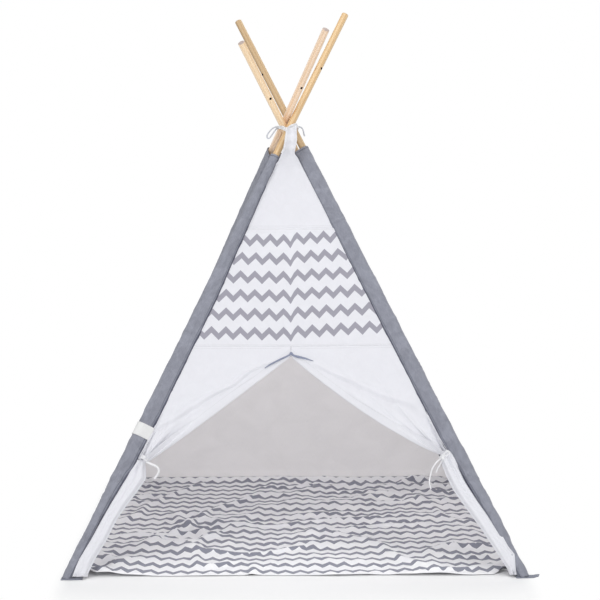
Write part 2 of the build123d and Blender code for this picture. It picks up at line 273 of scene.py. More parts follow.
@dataclass(frozen=True)
class Wall:
    """The plane between two poles, addressed by a level coordinate and a height.

    The level coordinate is X on the front and back walls and Y on the side walls.
    """

    first: Pole
    second: Pole
    level: int
    outward: Vector

    def seam(self, pole: Pole, height: Array, inset: float = 0.0) -> Array:
        """The level coordinate of the seam beside a pole.

        Args:
            pole: one of the wall's two poles.
            height: heights.
            inset: distance into the wall, square to the pole.

        Returns:
            Level coordinates.
        """
        other = self.second if pole is self.first else self.first
        way = math.copysign(1.0, other.foot[self.level] - pole.foot[self.level])
        slant = math.sqrt(1 - pole.axis[self.level] ** 2)
        narrows = self.outward.y < -0.5 and pole.corner is Corner.FRONT_LEFT
        wing = through(NARROWING, height) if narrows else SLEEVE_WING
        return pole.coordinate(self.level, height) + way * (wing + WING_EDGE + inset) / slant

    def seams(self, height: Array, inset: float = 0.0) -> tuple[Array, Array]:
        """Both seams' level coordinates."""
        return self.seam(self.first, height, inset), self.seam(self.second, height, inset)

    def at(self, level: Array, height: Array, lift: Array) -> Array:
        """Points of the wall.

        Args:
            level: level coordinates.
            height: heights.
            lift: distance outwards from the wall.

        Returns:
            An array whose last axis is x, y, z.
        """
        start, stop = (pole.coordinate(self.level, height) for pole in (self.first, self.second))
        share = (level - start) / np.where(np.abs(stop - start) < 1e-6, 1e-6, stop - start)
        share = np.clip(share, -0.4, 1.4)
        share = 0.5 + (share - 0.5) * smooth(0.03, 0.09, np.abs(stop - start))
        near, far = (pole.coordinate(1 - self.level, height) for pole in (self.first, self.second))
        points = np.empty(level.shape + (3,))
        points[..., self.level] = level
        points[..., 1 - self.level] = near + (far - near) * share
        points[..., 2] = height
        return points + lift[..., None] * np.array(self.outward)


def make_wall(first: Corner, second: Corner, level: int, depth_sign: float) -> Wall:
    """A wall between two poles, with its outward normal worked out.

    Args:
        first: the pole on the left, seen from outside.
        second: the pole on the right.
        level: 0 for X, 1 for Y.
        depth_sign: the sign of the outward horizontal direction.

    Returns:
        The wall.
    """
    a, b = POLES[first], POLES[second]
    normal = (b.foot - a.foot).cross((a.crossing + b.crossing) / 2 - a.foot).normalized()
    if normal[1 - level] * depth_sign < 0:
        normal = -normal
    return Wall(a, b, level, normal)


FRONT = make_wall(Corner.FRONT_LEFT, Corner.FRONT_RIGHT, 0, -1)
BACK = make_wall(Corner.BACK_RIGHT, Corner.BACK_LEFT, 0, 1)
LEFT = make_wall(Corner.BACK_LEFT, Corner.FRONT_LEFT, 1, -1)
RIGHT = make_wall(Corner.FRONT_RIGHT, Corner.BACK_RIGHT, 1, 1)


# ---------------------------------------------------------------- shader building


class Signal:
    """A shader value that ordinary signs add, take away, multiply and divide."""

    def __init__(self, nodes: "Nodes", socket: bpy.types.NodeSocket) -> None:
        """Keeps an output socket and the builder of its tree."""
        self.nodes, self.socket = nodes, socket

    def __add__(self, other: object) -> "Signal":
        """The sum."""
        return self.nodes.math("ADD", self, other)

    def __sub__(self, other: object) -> "Signal":
        """The difference."""
        return self.nodes.math("SUBTRACT", self, other)

    def __rsub__(self, other: float) -> "Signal":
        """A number less this."""
        return self.nodes.math("SUBTRACT", other, self)

    def __mul__(self, other: object) -> "Signal":
        """The product."""
        return self.nodes.math("MULTIPLY", self, other)

    def __truediv__(self, other: object) -> "Signal":
        """The quotient."""
        return self.nodes.math("DIVIDE", self, other)

    def __rtruediv__(self, other: float) -> "Signal":
        """A number over this."""
        return self.nodes.math("DIVIDE", other, self)

    def __abs__(self) -> "Signal":
        """Its size without its sign."""
        return self.nodes.math("ABSOLUTE", self)


class Nodes:
    """Adds and links nodes in one shader or group tree."""

    def __init__(self, tree: bpy.types.NodeTree) -> None:
        """Works in a tree."""
        self.tree = tree

    def put(self, socket: bpy.types.NodeSocket, value: object) -> None:
        """Links a signal to a socket, or sets the socket's constant."""
        if isinstance(value, Signal):
            self.tree.links.new(value.socket, socket)
        else:
            socket.default_value = value

    def add(self, kind: str, inputs: dict | None = None, **settings: object) -> bpy.types.Node:
        """Adds a node.

        Args:
            kind: the node's class name without its ShaderNode prefix.
            inputs: socket name or number to a constant or a signal.
            **settings: attributes of the node.

        Returns:
            The node.
        """
        node = self.tree.nodes.new(f"ShaderNode{kind}")
        for key, value in settings.items():
            setattr(node, key, value)
        for key, value in (inputs or {}).items():
            self.put(node.inputs[key], value)
        return node

    def read(self, kind: str, output: str | int, inputs: dict | None = None, **settings: object) -> Signal:
        """One output of a new node, whose inputs and settings are as for add."""
        return Signal(self, self.add(kind, inputs, **settings).outputs[output])

    def math(self, operation: str, *values: object) -> Signal:
        """A maths node over one or two values."""
        return self.read("Math", 0, dict(enumerate(values)), operation=operation)

    def vector(self, operation: str, *values: object) -> Signal:
        """A vector maths node over one or two values."""
        output = "Value" if operation in ("DOT_PRODUCT", "LENGTH") else "Vector"
        return self.read("VectorMath", output, dict(enumerate(values)), operation=operation)

    def ramp(self, low: float, high: float, value: object) -> Signal:
        """A smooth step of a value from 0 at low to 1 at high."""
        span = {"Value": value, "From Min": low, "From Max": high}
        return self.read("MapRange", "Result", span, interpolation_type="SMOOTHSTEP")

    def mix(self, share: object, a: object, b: object) -> Signal:
        """A colour between a and b."""
        return self.read("Mix", 2, {"Factor": share, 6: a, 7: b}, data_type="RGBA")

    def blend(self, share: object, a: Signal, b: Signal) -> Signal:
        """A shader between a and b."""
        return self.read("MixShader", 0, {0: share, 1: a, 2: b})

    def noise(self, place: Signal, scale: float, detail: float, distortion: float = 0.0) -> Signal:
        """Cloudy noise at a place."""
        sizes = {"Vector": place, "Scale": scale, "Detail": detail, "Distortion": distortion}
        return self.read("TexNoise", "Fac", sizes)

    def stretch(self, place: Signal, scale: Triple) -> Signal:
        """A place multiplied by one number for each axis."""
        return self.read("Mapping", 0, {"Vector": place, "Scale": scale})

    def parts(self, place: Signal) -> list[Signal]:
        """The x, y and z of a place."""
        return [Signal(self, part) for part in self.add("SeparateXYZ", {"Vector": place}).outputs]

    def bump(self, height: Signal, strength: float, distance: float) -> Signal:
        """The normal of a surface raised by a height."""
        return self.read("Bump", "Normal", {"Height": height, "Strength": strength, "Distance": distance})

    def group(self, tree: bpy.types.NodeTree, **inputs: object) -> dict[str, Signal]:
        """The outputs of a node group, used with its inputs set."""
        node = self.add("Group", node_tree=tree)
        for key, value in inputs.items():
            self.put(node.inputs[key], value)
        return {socket.name: Signal(self, socket) for socket in node.outputs}

    def give(self, **results: Signal) -> bpy.types.NodeTree:
        """Ends a node group with its outputs, and hands over its tree."""
        for key in results:
            self.tree.interface.new_socket(key, in_out="OUTPUT", socket_type="NodeSocketFloat")
        end = self.tree.nodes.new("NodeGroupOutput")
        for key, value in results.items():
            self.put(end.inputs[key], value)
        return self.tree


def new_group(name: str, *inputs: str) -> tuple[Nodes, dict[str, Signal]]:
    """Starts a node group.

    Args:
        name: the group's name.
        *inputs: its inputs' names; Vector is a vector and the others are numbers.

    Returns:
        Its node builder and its inputs.
    """
    tree = bpy.data.node_groups.new(name, "ShaderNodeTree")
    for key in inputs:
        kind = "NodeSocketVector" if key == "Vector" else "NodeSocketFloat"
        tree.interface.new_socket(key, in_out="INPUT", socket_type=kind)
    n = Nodes(tree)
    start = tree.nodes.new("NodeGroupInput")
    return n, {key: Signal(n, start.outputs[key]) for key in inputs}


def new_material(name: str) -> tuple[Material, Nodes]:
    """An empty material and its node builder."""
    material = bpy.data.materials.new(name)
    material.use_nodes = True
    material.node_tree.nodes.clear()
    return material, Nodes(material.node_tree)


class Effects:
    """The node groups that several materials share, each built once."""

    def __init__(self) -> None:
        """Builds every group."""
        self.weave = self._weave()
        self.zigzag = self._zigzag()
        self.stitches = self._stitches()
        self.crinkle = self._crinkle()
        self.grain = self._grain()

    @staticmethod
    def _weave() -> bpy.types.NodeTree:
        """Plain weave from a cloth coordinate in metres."""
        n, given = new_group("plain_weave", "Vector", "Pitch")
        x, y, _ = n.parts(given["Vector"])
        turns = FULL_TURN / given["Pitch"]
        warp, weft = n.math("SINE", x * turns), n.math("SINE", y * turns)
        ribs = n.math("MAXIMUM", abs(warp), abs(weft))
        slub = n.noise(given["Vector"], 900.0, 2.0)
        thread = n.noise(n.stretch(given["Vector"], (2600.0, 70.0, 1.0)), 1.0, 1.0)
        return n.give(Height=warp * weft * 0.35 + ribs * 0.4 + slub * 0.5, Thread=thread)

    @staticmethod
    def _zigzag() -> bpy.types.NodeTree:
        """Rows of zigzag from a cloth coordinate in metres, mirrored about a seam."""
        n, given = new_group("zigzag_rows", "Vector", "Row", "Period", "Height", "Stroke", "Rows")
        x, y, _ = n.parts(given["Vector"])
        phase = n.math("FRACT", abs(x) / given["Period"])
        tooth = (abs(phase - 0.5) - 0.25) * (given["Height"] * 2.0)
        drift = (n.noise(given["Vector"], 14.0, 1.0) - 0.5) * 0.003
        rows = (y + tooth + drift) / given["Row"]
        inside = abs(n.math("FRACT", rows) - 0.5) * given["Row"]
        inked = n.ramp(-0.0006, 0.0006, given["Stroke"] * 0.5 - inside)
        printed = n.math("LESS_THAN", rows, given["Rows"]) * n.math("GREATER_THAN", rows, 0.0)
        return n.give(Mask=inked * printed)

    @staticmethod
    def _stitches() -> bpy.types.NodeTree:
        """A dashed line of stitches along a seam."""
        n, given = new_group("stitch_line", "Across", "Along", "Inset")
        line = 1.0 - n.ramp(0.0003, 0.0008, abs(given["Across"] - given["Inset"]))
        dash = abs(n.math("FRACT", given["Along"] / 0.0036) - 0.5)
        return n.give(Mask=line * (1.0 - n.ramp(0.33, 0.42, dash)))

    @staticmethod
    def _crinkle() -> bpy.types.NodeTree:
        """Small soft creases left by folding and sewing."""
        n, given = new_group("cloth_crinkle", "Vector", "Size")
        sizes = {0: given["Vector"], "Scale": 1.0 / given["Size"]}
        scaled = n.read("VectorMath", 0, sizes, operation="SCALE")
        warped, fine = n.noise(scaled, 1.0, 3.0, 0.8), n.noise(scaled, 3.2, 2.0, 1.5)
        ridge = 1.0 - n.ramp(0.0, 0.09, abs(warped - 0.5))
        return n.give(Height=ridge * 0.45 + fine * 0.6, Tone=warped)

    @staticmethod
    def _grain() -> bpy.types.NodeTree:
        """Pine grain along the local Z of a coordinate in metres."""
        n, given = new_group("pine_grain", "Vector")
        long_way = n.stretch(given["Vector"], (70.0, 70.0, 2.6))
        sway = n.noise(long_way, 1.0, 2.0, 0.4)
        waves = {"Vector": long_way, "Scale": 0.45, "Distortion": 3.0, "Detail": 1.0}
        rings = n.read("TexWave", "Fac", waves)
        spots = n.stretch(given["Vector"], (30.0, 30.0, 5.0))
        cells = n.read("TexVoronoi", "Distance", {"Vector": spots, "Scale": 1.0})
        pore = n.noise(n.stretch(given["Vector"], (190.0, 190.0, 3.0)), 1.0, 1.0)
        knot = 1.0 - n.ramp(0.02, 0.07, cells)
        return n.give(Early=rings * 0.55 + sway * 0.55, Knot=knot, Pore=pore)


def linear(red: int, green: int, blue: int) -> Colour:
    """A display colour from 0 to 255 as the linear colour that shaders take."""
    parts = []
    for part in (red, green, blue):
        share = part / 255
        parts.append(share / 12.92 if share <= 0.04045 else ((share + 0.055) / 1.055) ** 2.4)
    return parts[0], parts[1], parts[2], 1.0


def tinted(colour: Colour, factor: float) -> Colour:
    """A colour made lighter or darker."""
    return tuple(min(1.0, part * factor) for part in colour[:3]) + (1.0,)


class Print(Enum):
    """What is printed on a cloth."""

    PLAIN = 0
    ZIGZAG = 1


@dataclass(frozen=True)
class Cloth:
    """A woven cloth's finish.

    Where outer is given, it is the colour of the side that faces out, and colour,
    darker, is painted shade on the inside; light passes through to the inside only.
    A seam colour, where given, paints shade along a sewn edge.
    """

    name: str
    colour: Colour
    printed: Print = Print.PLAIN
    ink: Colour = (0, 0, 0, 1)
    row: float = 0.0545
    period: float = 0.0397
    tooth: float = 0.0206
    stroke: float = 0.0192
    rows: float = 1000.0
    pitch: float = 0.0011
    crinkle: float = 0.030
    relief: float = 0.35
    see_through: float = 0.0
    mottle: float = 0.06
    stitch_insets: tuple[float, ...] = ()
    # colour of the painted shade along a sewn edge, where the seam lies in shade
    painted_seam_shade: Colour | None = None
    thread: Colour = (0.8, 0.8, 0.8, 1)
    outer: Colour | None = None

    def build(self, effects: Effects) -> Material:
        """Makes the material.

        Args:
            effects: the shared node groups.

        Returns:
            The material, which reads the cloth's metric coordinates from its UV map.
        """
        material, n = new_material(self.name)
        place = n.read("UVMap", "UV", uv_map="cloth")
        weave = n.group(effects.weave, Vector=place, Pitch=self.pitch)
        folds = n.group(effects.crinkle, Vector=place, Size=self.crinkle)
        tone = n.ramp(0.25, 0.75, folds["Tone"] * 0.5 + weave["Thread"] * 0.5)
        colour = n.mix(tone, *(tinted(self.colour, 1 + way * self.mottle) for way in (-1, 1)))
        if self.printed is Print.ZIGZAG:
            sizes = {"Row": self.row, "Period": self.period, "Height": self.tooth}
            sizes |= {"Stroke": self.stroke, "Rows": self.rows}
            rows = n.group(effects.zigzag, Vector=place, **sizes)
            worn = n.mix(n.ramp(0.3, 0.8, weave["Thread"]), self.ink, tinted(self.ink, 1.12))
            colour = n.mix(rows["Mask"], colour, worn)
        height = folds["Height"] + weave["Height"] * 0.10
        if self.stitch_insets:
            across, along, _ = n.parts(n.read("UVMap", "UV", uv_map="edge"))
            # painted shade: a dark line within a few millimetres of the sewn edge
            if self.painted_seam_shade:
                near = 1.0 - n.ramp(0.0014, 0.0044, across)
                colour = n.mix(near * 0.85, colour, self.painted_seam_shade)
            for inset in self.stitch_insets:
                line = n.group(effects.stitches, Across=across, Along=along, Inset=inset)["Mask"]
                colour = n.mix(line, colour, self.thread)
                height = height + line * 0.5
        passed = self.see_through
        # painted shade: the inside face takes the darker colour, the outside face the white one
        if self.outer:
            inside = n.read("NewGeometry", "Backfacing")
            colour = n.mix(inside, self.outer, colour)
            passed = inside * self.see_through
        normal = n.bump(height, self.relief, 0.0012)
        look = {"Base Color": colour, "Roughness": 0.92, "Specular IOR Level": 0.12}
        look |= {"Sheen Weight": 0.15, "Sheen Roughness": 0.6, "Normal": normal}
        skin = n.read("BsdfPrincipled", 0, look)
        glow = n.read("BsdfTranslucent", 0, {"Color": colour, "Normal": normal})
        n.add("OutputMaterial", {"Surface": n.blend(passed, skin, glow)})
        return material


@dataclass(frozen=True)
class Wood:
    """Pine with a thin matt varnish, its grain along one pole, painted dark as shade in the drilled hole.
    """

    name: str
    pole: Pole
    early: Colour
    late: Colour
    knot: Colour = linear(176, 122, 78)

    def build(self, effects: Effects) -> Material:
        """Makes the material; the grain runs along the pole's axis."""
        material, n = new_material(self.name)
        axis = self.pole.axis
        hole, drilled = HOLES[self.pole.corner]
        place = n.read("TexCoord", "Object")
        turn = tuple(axis.rotation_difference(Vector((0, 0, 1))).to_euler())
        turned = n.read("Mapping", 0, {"Vector": place, "Rotation": turn})
        grain = n.group(effects.grain, Vector=turned)
        colour = n.mix(n.ramp(0.25, 1.05, grain["Early"]), self.early, self.late)
        colour = n.mix(grain["Knot"] * 0.75, colour, self.knot)
        colour = n.mix(n.ramp(0.55, 0.75, grain["Pore"]) * 0.06, colour, self.knot)
        offset = n.vector("SUBTRACT", place, tuple(hole + axis * HOLE_FROM_TIP))
        above = n.vector("DOT_PRODUCT", offset, tuple(axis))
        colour = n.mix(n.ramp(-0.0022, -0.0004, above), colour, linear(178, 160, 152))
        # painted shade: the wood round the drilled hole's axis is dark brown, for the shade inside the
        # hole
        aside = n.vector("CROSS_PRODUCT", n.vector("SUBTRACT", place, tuple(hole)), tuple(drilled))
        hole_painted_shade = n.ramp(0.0042, 0.0034, n.vector("LENGTH", aside))
        colour = n.mix(hole_painted_shade, colour, linear(58, 38, 24))
        look = {"Base Color": colour, "Roughness": grain["Pore"] * 0.18 + 0.42}
        look |= {"Coat Weight": 0.15, "Coat Roughness": 0.35}
        look["Normal"] = n.bump(grain["Early"] - grain["Pore"] * 0.6, 0.03, 0.0004)
        n.add("OutputMaterial", {"Surface": n.read("BsdfPrincipled", 0, look)})
        return material


@dataclass(frozen=True)
class Metal:
    """Drawn aluminium tube with fine scratches."""

    name: str
    colour: Colour

    def build(self) -> Material:
        """Makes the material."""
        material, n = new_material(self.name)
        scratch = n.noise(n.read("TexCoord", "Object"), 900.0, 2.0)
        look = {"Base Color": self.colour, "Metallic": 1.0, "Roughness": scratch * 0.15 + 0.30}
        look["Normal"] = n.bump(scratch, 0.08, 0.0002)
        n.add("OutputMaterial", {"Surface": n.read("BsdfPrincipled", 0, look)})
        return material


class Finishes:
    """Every material of the tent, built once."""

    WHITE = linear(238, 238, 243)
    STITCH = linear(226, 226, 230)

    def __init__(self) -> None:
        """Builds the materials over the shared effects."""
        effects = Effects()
        sewn = {"mottle": 0.02, "thread": self.STITCH, "see_through": 0.12}
        self.white = Cloth("white_cotton", self.WHITE, stitch_insets=(0.006,), **sewn).build(effects)
        # the inner cotton's warm grey is painted shade: the same white cloth, darker inside the tent
        self.inner = Cloth(
            "inner_cotton_painted_shade", linear(224, 221, 222), mottle=0.05, crinkle=0.11, relief=0.6,
            see_through=0.4, outer=self.WHITE,
        ).build(effects)
        self.band = Cloth(
            "zigzag_cotton", self.WHITE, printed=Print.ZIGZAG, ink=linear(166, 164, 175),
            rows=6.0, stitch_insets=(0.004,), **sewn,
        ).build(effects)
        self.mat = Cloth(
            "mat_cotton", linear(250, 250, 255), printed=Print.ZIGZAG, ink=linear(140, 142, 154),
            row=0.0577, stroke=0.0215, relief=0.5, crinkle=0.06,
        ).build(effects)
        # the sleeve's dark navy seam colour is painted shade at the wing's edge
        self.sleeve = Cloth(
            "grey_canvas", linear(145, 147, 158), mottle=0.22, crinkle=0.034, relief=1.0,
            stitch_insets=(0.005,), thread=linear(108, 111, 124), painted_seam_shade=linear(62, 64, 82),
        ).build(effects)
        # the grey-blue tape over the door is its bar tack and painted shade of the hem's folds
        self.strap, self.label, self.binding, self.apex_cord, self.cord = (
            Cloth(name, linear(*shade), pitch=pitch, mottle=mottle, relief=relief).build(effects)
            for name, shade, pitch, mottle, relief in (
                ("grey_webbing", (132, 135, 148), 0.0022, 0.08, 0.8),
                ("bare_label_tape", (230, 230, 229), 0.0020, 0.03, 0.6),
                ("binding_tape", (140, 146, 166), 0.0012, 0.08, 0.35),
                ("grey_cord", (204, 207, 216), 0.0026, 0.15, 0.9),
                ("white_cord", (238, 238, 240), 0.0026, 0.05, 0.9),
            )
        )
        self.metal = Metal("ferrule_aluminium", (0.75, 0.75, 0.76, 1.0)).build()
        tones = {
            Corner.FRONT_LEFT: (linear(230, 200, 156), linear(216, 176, 124)),
            Corner.FRONT_RIGHT: (linear(206, 178, 138), linear(186, 154, 112)),
            Corner.BACK_LEFT: (linear(246, 220, 194), linear(238, 204, 168)),
            Corner.BACK_RIGHT: (linear(250, 224, 188), linear(242, 208, 166)),
        }
        self.wood = {
            pole.corner: Wood(f"pine_{pole.name}", pole, *tones[pole.corner]).build(effects)
            for pole in POLES.values()
        }


# ---------------------------------------------------------------- mesh building


def add_object(name: str, data: bpy.types.ID) -> Piece:
    """Puts new data in the scene as an object."""
    obj = bpy.data.objects.new(name, data)
    bpy.context.scene.collection.objects.link(obj)
    return obj


@dataclass
class Patch:
    """A grid of cloth: its points, its metric coordinates and its edge coordinates."""

    name: str
    points: Array
    cloth: Array
    edge: Array | None = None
    closed: bool = False
    caps: tuple[bool, bool] = (False, False)

    def build(self, material: Material, thickness: float = 0.0, offset: float = 0.0) -> Piece:
        """Makes the mesh object.

        Args:
            material: its finish.
            thickness: of the cloth in metres, 0 for none.
            offset: where the thickness lies, -1 inside to 1 outside.

        Returns:
            The object, shaded smooth, with a "cloth" and an "edge" UV map.
        """
        rows, cols = self.points.shape[:2]
        last = cols if self.closed else cols - 1
        r, c = np.meshgrid(np.arange(rows - 1), np.arange(last), indexing="ij")
        low, right = r * cols + c, r * cols + (c + 1) % cols
        quads = np.stack([low, right, right + cols, low + cols], -1)
        faces = quads.reshape(-1, 4).tolist()
        if self.caps[0]:
            faces.append(list(range(cols - 1, -1, -1)))
        if self.caps[1]:
            faces.append(list(range((rows - 1) * cols, rows * cols)))
        mesh = bpy.data.meshes.new(self.name)
        mesh.from_pydata(self.points.reshape(-1, 3).tolist(), [], faces)
        edge = self.edge if self.edge is not None else np.full(self.cloth.shape, 1.0)
        for name, source in (("cloth", self.cloth), ("edge", edge)):
            span = source.shape[1]
            low = r * span + c
            loops = np.stack([low, low + 1, low + 1 + span, low + span], -1)
            values = source.reshape(-1, 2)[loops.reshape(-1)]
            pad = np.zeros((len(mesh.loops) - len(values), 2))
            layer = mesh.uv_layers.new(name=name)
            layer.data.foreach_set("uv", np.concatenate([values, pad]).reshape(-1))
        mesh.validate()
        mesh.update()
        obj = add_object(self.name, mesh)
        mesh.materials.append(material)
        mesh.shade_smooth()
        if thickness:
            shell = obj.modifiers.new("thickness", "SOLIDIFY")
            shell.thickness = thickness
            shell.offset = offset
        return obj


def finish_piece(obj: Piece, body: str, slot: str, *nodes: str) -> Piece:
    """Puts a piece on its body and in place of frame nodes.

    Args:
        obj: the piece.
        body: the body that it rides on.
        slot: the record's material slot; not used.
        *nodes: the frame nodes that it stands for.

    Returns:
        The piece.
    """
    if nodes:
        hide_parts(*nodes)
    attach(obj, body)
    LOG.info("%s: %d vertices on %s", obj.name, len(getattr(obj.data, "vertices", [])), body)
    return obj


def finish_wall(
    obj: Piece, node: str, body: str = "front", slot: str = "white_fabric"
) -> Piece:
    """Finishes a piece of a wall: puts it on its body in place of its frame node, with a mesh of its own.

    Args:
        obj: the piece.
        node: the frame node that it stands for.
        body: the wall's body.
        slot: the record's material slot; not used.

    Returns:
        The piece.
    """
    finish_piece(obj, body, slot, node)
    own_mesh(obj)
    return obj


def hull_loop(radius: float, tips: Sequence[Vector], tip_radius: float, count: int) -> Array:
    """The closed outline round a circle and two small wing tips.

    Args:
        radius: of the circle about the origin.
        tips: the wing tips' centres, in the plane.
        tip_radius: of the tips.
        count: how many even points to return.

    Returns:
        Points of the outline from the first tip's far side, counter-clockwise.
    """
    turns = np.linspace(0, FULL_TURN, 73)[:-1]
    ring = np.stack([np.cos(turns), np.sin(turns)], -1)
    cloud = np.concatenate([ring * radius] + [ring * tip_radius + np.array(tip) for tip in tips])
    cloud = cloud[np.lexsort((cloud[:, 1], cloud[:, 0]))]
    half: list = []
    for way in (cloud, cloud[::-1]):
        chain: list = []
        for point in way:
            while len(chain) > 1:
                (ax, ay), (bx, by) = chain[-2], chain[-1]
                if (bx - ax) * (point[1] - ay) - (by - ay) * (point[0] - ax) > 0:
                    break
                chain.pop()
            chain.append(point)
        half += chain[:-1]
    loop = np.array(half)
    first = int(np.argmax(loop @ np.array(tips[0])))
    return evenly(np.concatenate([loop[first:], loop[: first + 1]]), count + 1)[:-1]


def tube(name: str, line: Array, axis: Sequence[float], radius: float, tall: float, girth: float) -> Patch:
    """A cord along a path.

    Args:
        name: the piece's name.
        line: the path's points.
        axis: what the path winds about.
        radius: of the cord.
        tall: its radius along the axis over the other one.
        girth: metres of cloth round it.

    Returns:
        The cord, with both ends closed.
    """
    way = unit(np.gradient(line, axis=0))
    side = unit(np.cross(way, np.array(axis)))
    up = np.cross(side, way) * tall
    turn = np.linspace(0, FULL_TURN, 13)[None, :-1, None]
    ring = np.cos(turn) * side[:, None] + np.sin(turn) * up[:, None]
    cloth = np.stack(np.meshgrid(np.linspace(0, girth, 13), run_length(line)), -1)
    return Patch(name, line[:, None] + ring * radius, cloth, closed=True, caps=(True, True))


# ---------------------------------------------------------------- sleeves, label and straps


@dataclass
class Sleeve:
    """The grey cloth tube on one pole.

    front_wing and side_wing give the reach of the two wings, from the pole's axis,
    against the distance along the pole from the floor, and slack the cloth's looseness.
    """

    pole: Pole
    front_wing: Profile
    side_wing: Profile
    slack: Profile
    seed: int

    ROUND = 72
    CALM = ((0.0, 1.0), (0.60, 0.9), (1.10, 0.7))
    # widths of the painted seam shade up the sleeve: the seam gap is divided by these
    SEAM_SHADE = ((0.0, 2.4), (0.45, 1.9), (0.75, 1.6), (1.2, 1.4))
    FLOOR_GAP = 0.0022

    @property
    def length(self) -> float:
        """How far up the pole the sleeve reaches."""
        return SLEEVE_TOPS[self.pole.name] / self.pole.axis.z

    def section(self, along: float) -> tuple[Array, Array]:
        """The outline at a distance along the pole.

        Args:
            along: metres from the floor along the axis.

        Returns:
            3-D points and the distance round the outline at each.
        """
        first, second = (self.pole.towards(POLES[name]) for name in NEIGHBOURS[self.pole.corner])
        other = self.pole.axis.cross(first)
        other = other * (1.0 if other.dot(second) > 0 else -1.0)
        tip_a = Vector((1, 0)) * max(through(self.front_wing, along), 0.004)
        tip_b = Vector((second.dot(first), second.dot(other)))
        tip_b = tip_b * max(through(self.side_wing, along), 0.004)
        loop = hull_loop(SLEEVE_RADIUS, (tip_a, tip_b), WING_EDGE, self.ROUND)
        points = np.array(self.pole.along(along)) + loop[:, :1] * np.array(first)
        points = points + loop[:, 1:] * np.array(other)
        return points, run_length(np.concatenate([loop, loop[:1]]))

    def outward(self, points: Array, along: float) -> Array:
        """The directions from the axis to an outline's points."""
        return unit(points - np.array(self.pole.along(along)))

    def patch(self) -> Patch:
        """The sleeve as a closed tube of cloth with its creases."""
        relief = Relief(self.seed)
        axis = np.array(self.pole.axis)
        turn = np.arange(self.ROUND) / self.ROUND * FULL_TURN
        cos, sin = np.cos(turn), np.sin(turn)
        rings, cloths, edges = [], [], []
        below_floor, above_floor = np.linspace(-0.03, 0.0, 4), np.linspace(0.004, self.length, 330)
        for along in np.concatenate([below_floor, above_floor]):
            points, round_it = self.section(along)
            to_top = self.length - along
            bump = relief.fractal(3 * cos + 40, along * 26 + 3 * sin)
            folds = relief.creases(1.7 * cos + 9, along * 17 + 1.7 * sin, 0.18)
            fine = relief.creases(3.1 * cos + 60, along * 34 + 3.1 * sin + 7, 0.22)
            grow = np.maximum(0.0, 0.0014 * bump + 0.0016 * folds + 0.0008 * fine)
            grow = through(self.CALM, along) * grow + through(self.slack, along) * (0.6 + 0.6 * bump)
            ends = smooth(0.0, 0.02, along) * smooth(0.0, 0.02, to_top)
            hem = 0.0007 * (1 - smooth(0.0075, 0.0085, to_top))
            out = self.outward(points, along)
            points = points + out * (grow * (0.3 + 0.7 * ends) + hem)[:, None]
            slide = np.maximum(self.FLOOR_GAP - points[:, 2], 0.0) / axis[2]
            rings.append(points + slide[:, None] * axis)
            level = np.full(self.ROUND + 1, along)
            cloths.append(np.stack([round_it, level], -1))
            seam_gap = np.minimum(round_it, round_it[-1] - round_it) / through(self.SEAM_SHADE, along)
            gap = np.minimum(seam_gap, max(to_top - 0.002, 0.0042))
            edges.append(np.stack([gap, level + round_it], -1))
        name = f"sleeve_{self.pole.name}_cloth"
        shape = (np.array(rings), np.array(cloths), np.array(edges))
        return Patch(name, *shape, closed=True, caps=(True, False))

    def build(self, finishes: Finishes) -> Piece:
        """Makes the sleeve."""
        obj = self.patch().build(finishes.sleeve, thickness=CLOTH_THICKNESS, offset=-1)
        return finish_piece(obj, self.pole.body, "sleeve_fabric", f"sleeve_{self.pole.name}")


@dataclass
class Label:
    """The bare white band round the outer side of the front left sleeve."""

    sleeve: Sleeve
    centre: float = 0.437
    width: float = 0.0365

    def build(self, finishes: Finishes) -> Piece:
        """Makes the label as a slightly slack band over the sleeve."""
        relief = Relief(88)
        half = self.width / 2
        turn = np.arange(Sleeve.ROUND) / Sleeve.ROUND * FULL_TURN
        axis = np.array(self.sleeve.pole.axis)
        stations = np.linspace(self.centre - half, self.centre + half, 15)
        rows = []
        for along in stations:
            points, _ = self.sleeve.section(along)
            hem = 0.0004 * (abs(along - self.centre) > half - 0.004)
            loose = 0.0004 * relief.value(6 * np.cos(turn) + 20, along * 60 + np.sin(turn))
            out = self.sleeve.outward(points, along) * (0.0024 + loose + hem)[:, None]
            rows.append(points + out + axis * 0.001 * np.cos(turn)[:, None])
        cloth = np.stack(np.meshgrid(np.linspace(0, 0.11, Sleeve.ROUND + 1), stations), -1)
        patch = Patch("bare_label", np.array(rows), cloth, closed=True)
        obj = patch.build(finishes.label, thickness=0.0007, offset=1)
        return finish_piece(obj, self.sleeve.pole.body, "label_fabric", "blank_label")


@dataclass
class Strap:
    """A webbing strap that lies on the floor under one foot, its outer end raised by lift."""

    pole: Pole
    outline: Profile
    lift: float

    def build(self, finishes: Finishes) -> Piece:
        """Makes the strap from its outline, one long side and then the other."""
        count, half = 44, len(self.outline) // 2
        near = in_order(np.array(self.outline[:half]), count)
        far = in_order(np.array(self.outline[half:][::-1]), count)
        share = np.linspace(0, 1, 12)[:, None, None]
        flat = near[None] * (1 - share) + far[None] * share
        relief = Relief(len(self.pole.name))
        height = 0.0012 + self.lift * smooth(0.45, 1.0, np.linspace(0, 1, count))[None]
        height = height + 0.0009 * np.abs(relief.value(flat[..., 0] * 55 + 30, flat[..., 1] * 55 + 30))
        points = np.concatenate([flat, height[..., None]], -1)
        patch = Patch(f"foot_strap_{self.pole.name}_webbing", points, flat)
        obj = patch.build(finishes.strap, thickness=0.0018)
        return finish_piece(obj, self.pole.body, "sleeve_fabric", f"foot_strap_{self.pole.name}")


# ---------------------------------------------------------------- front wall

FRONT_RELIEF = Relief(5)


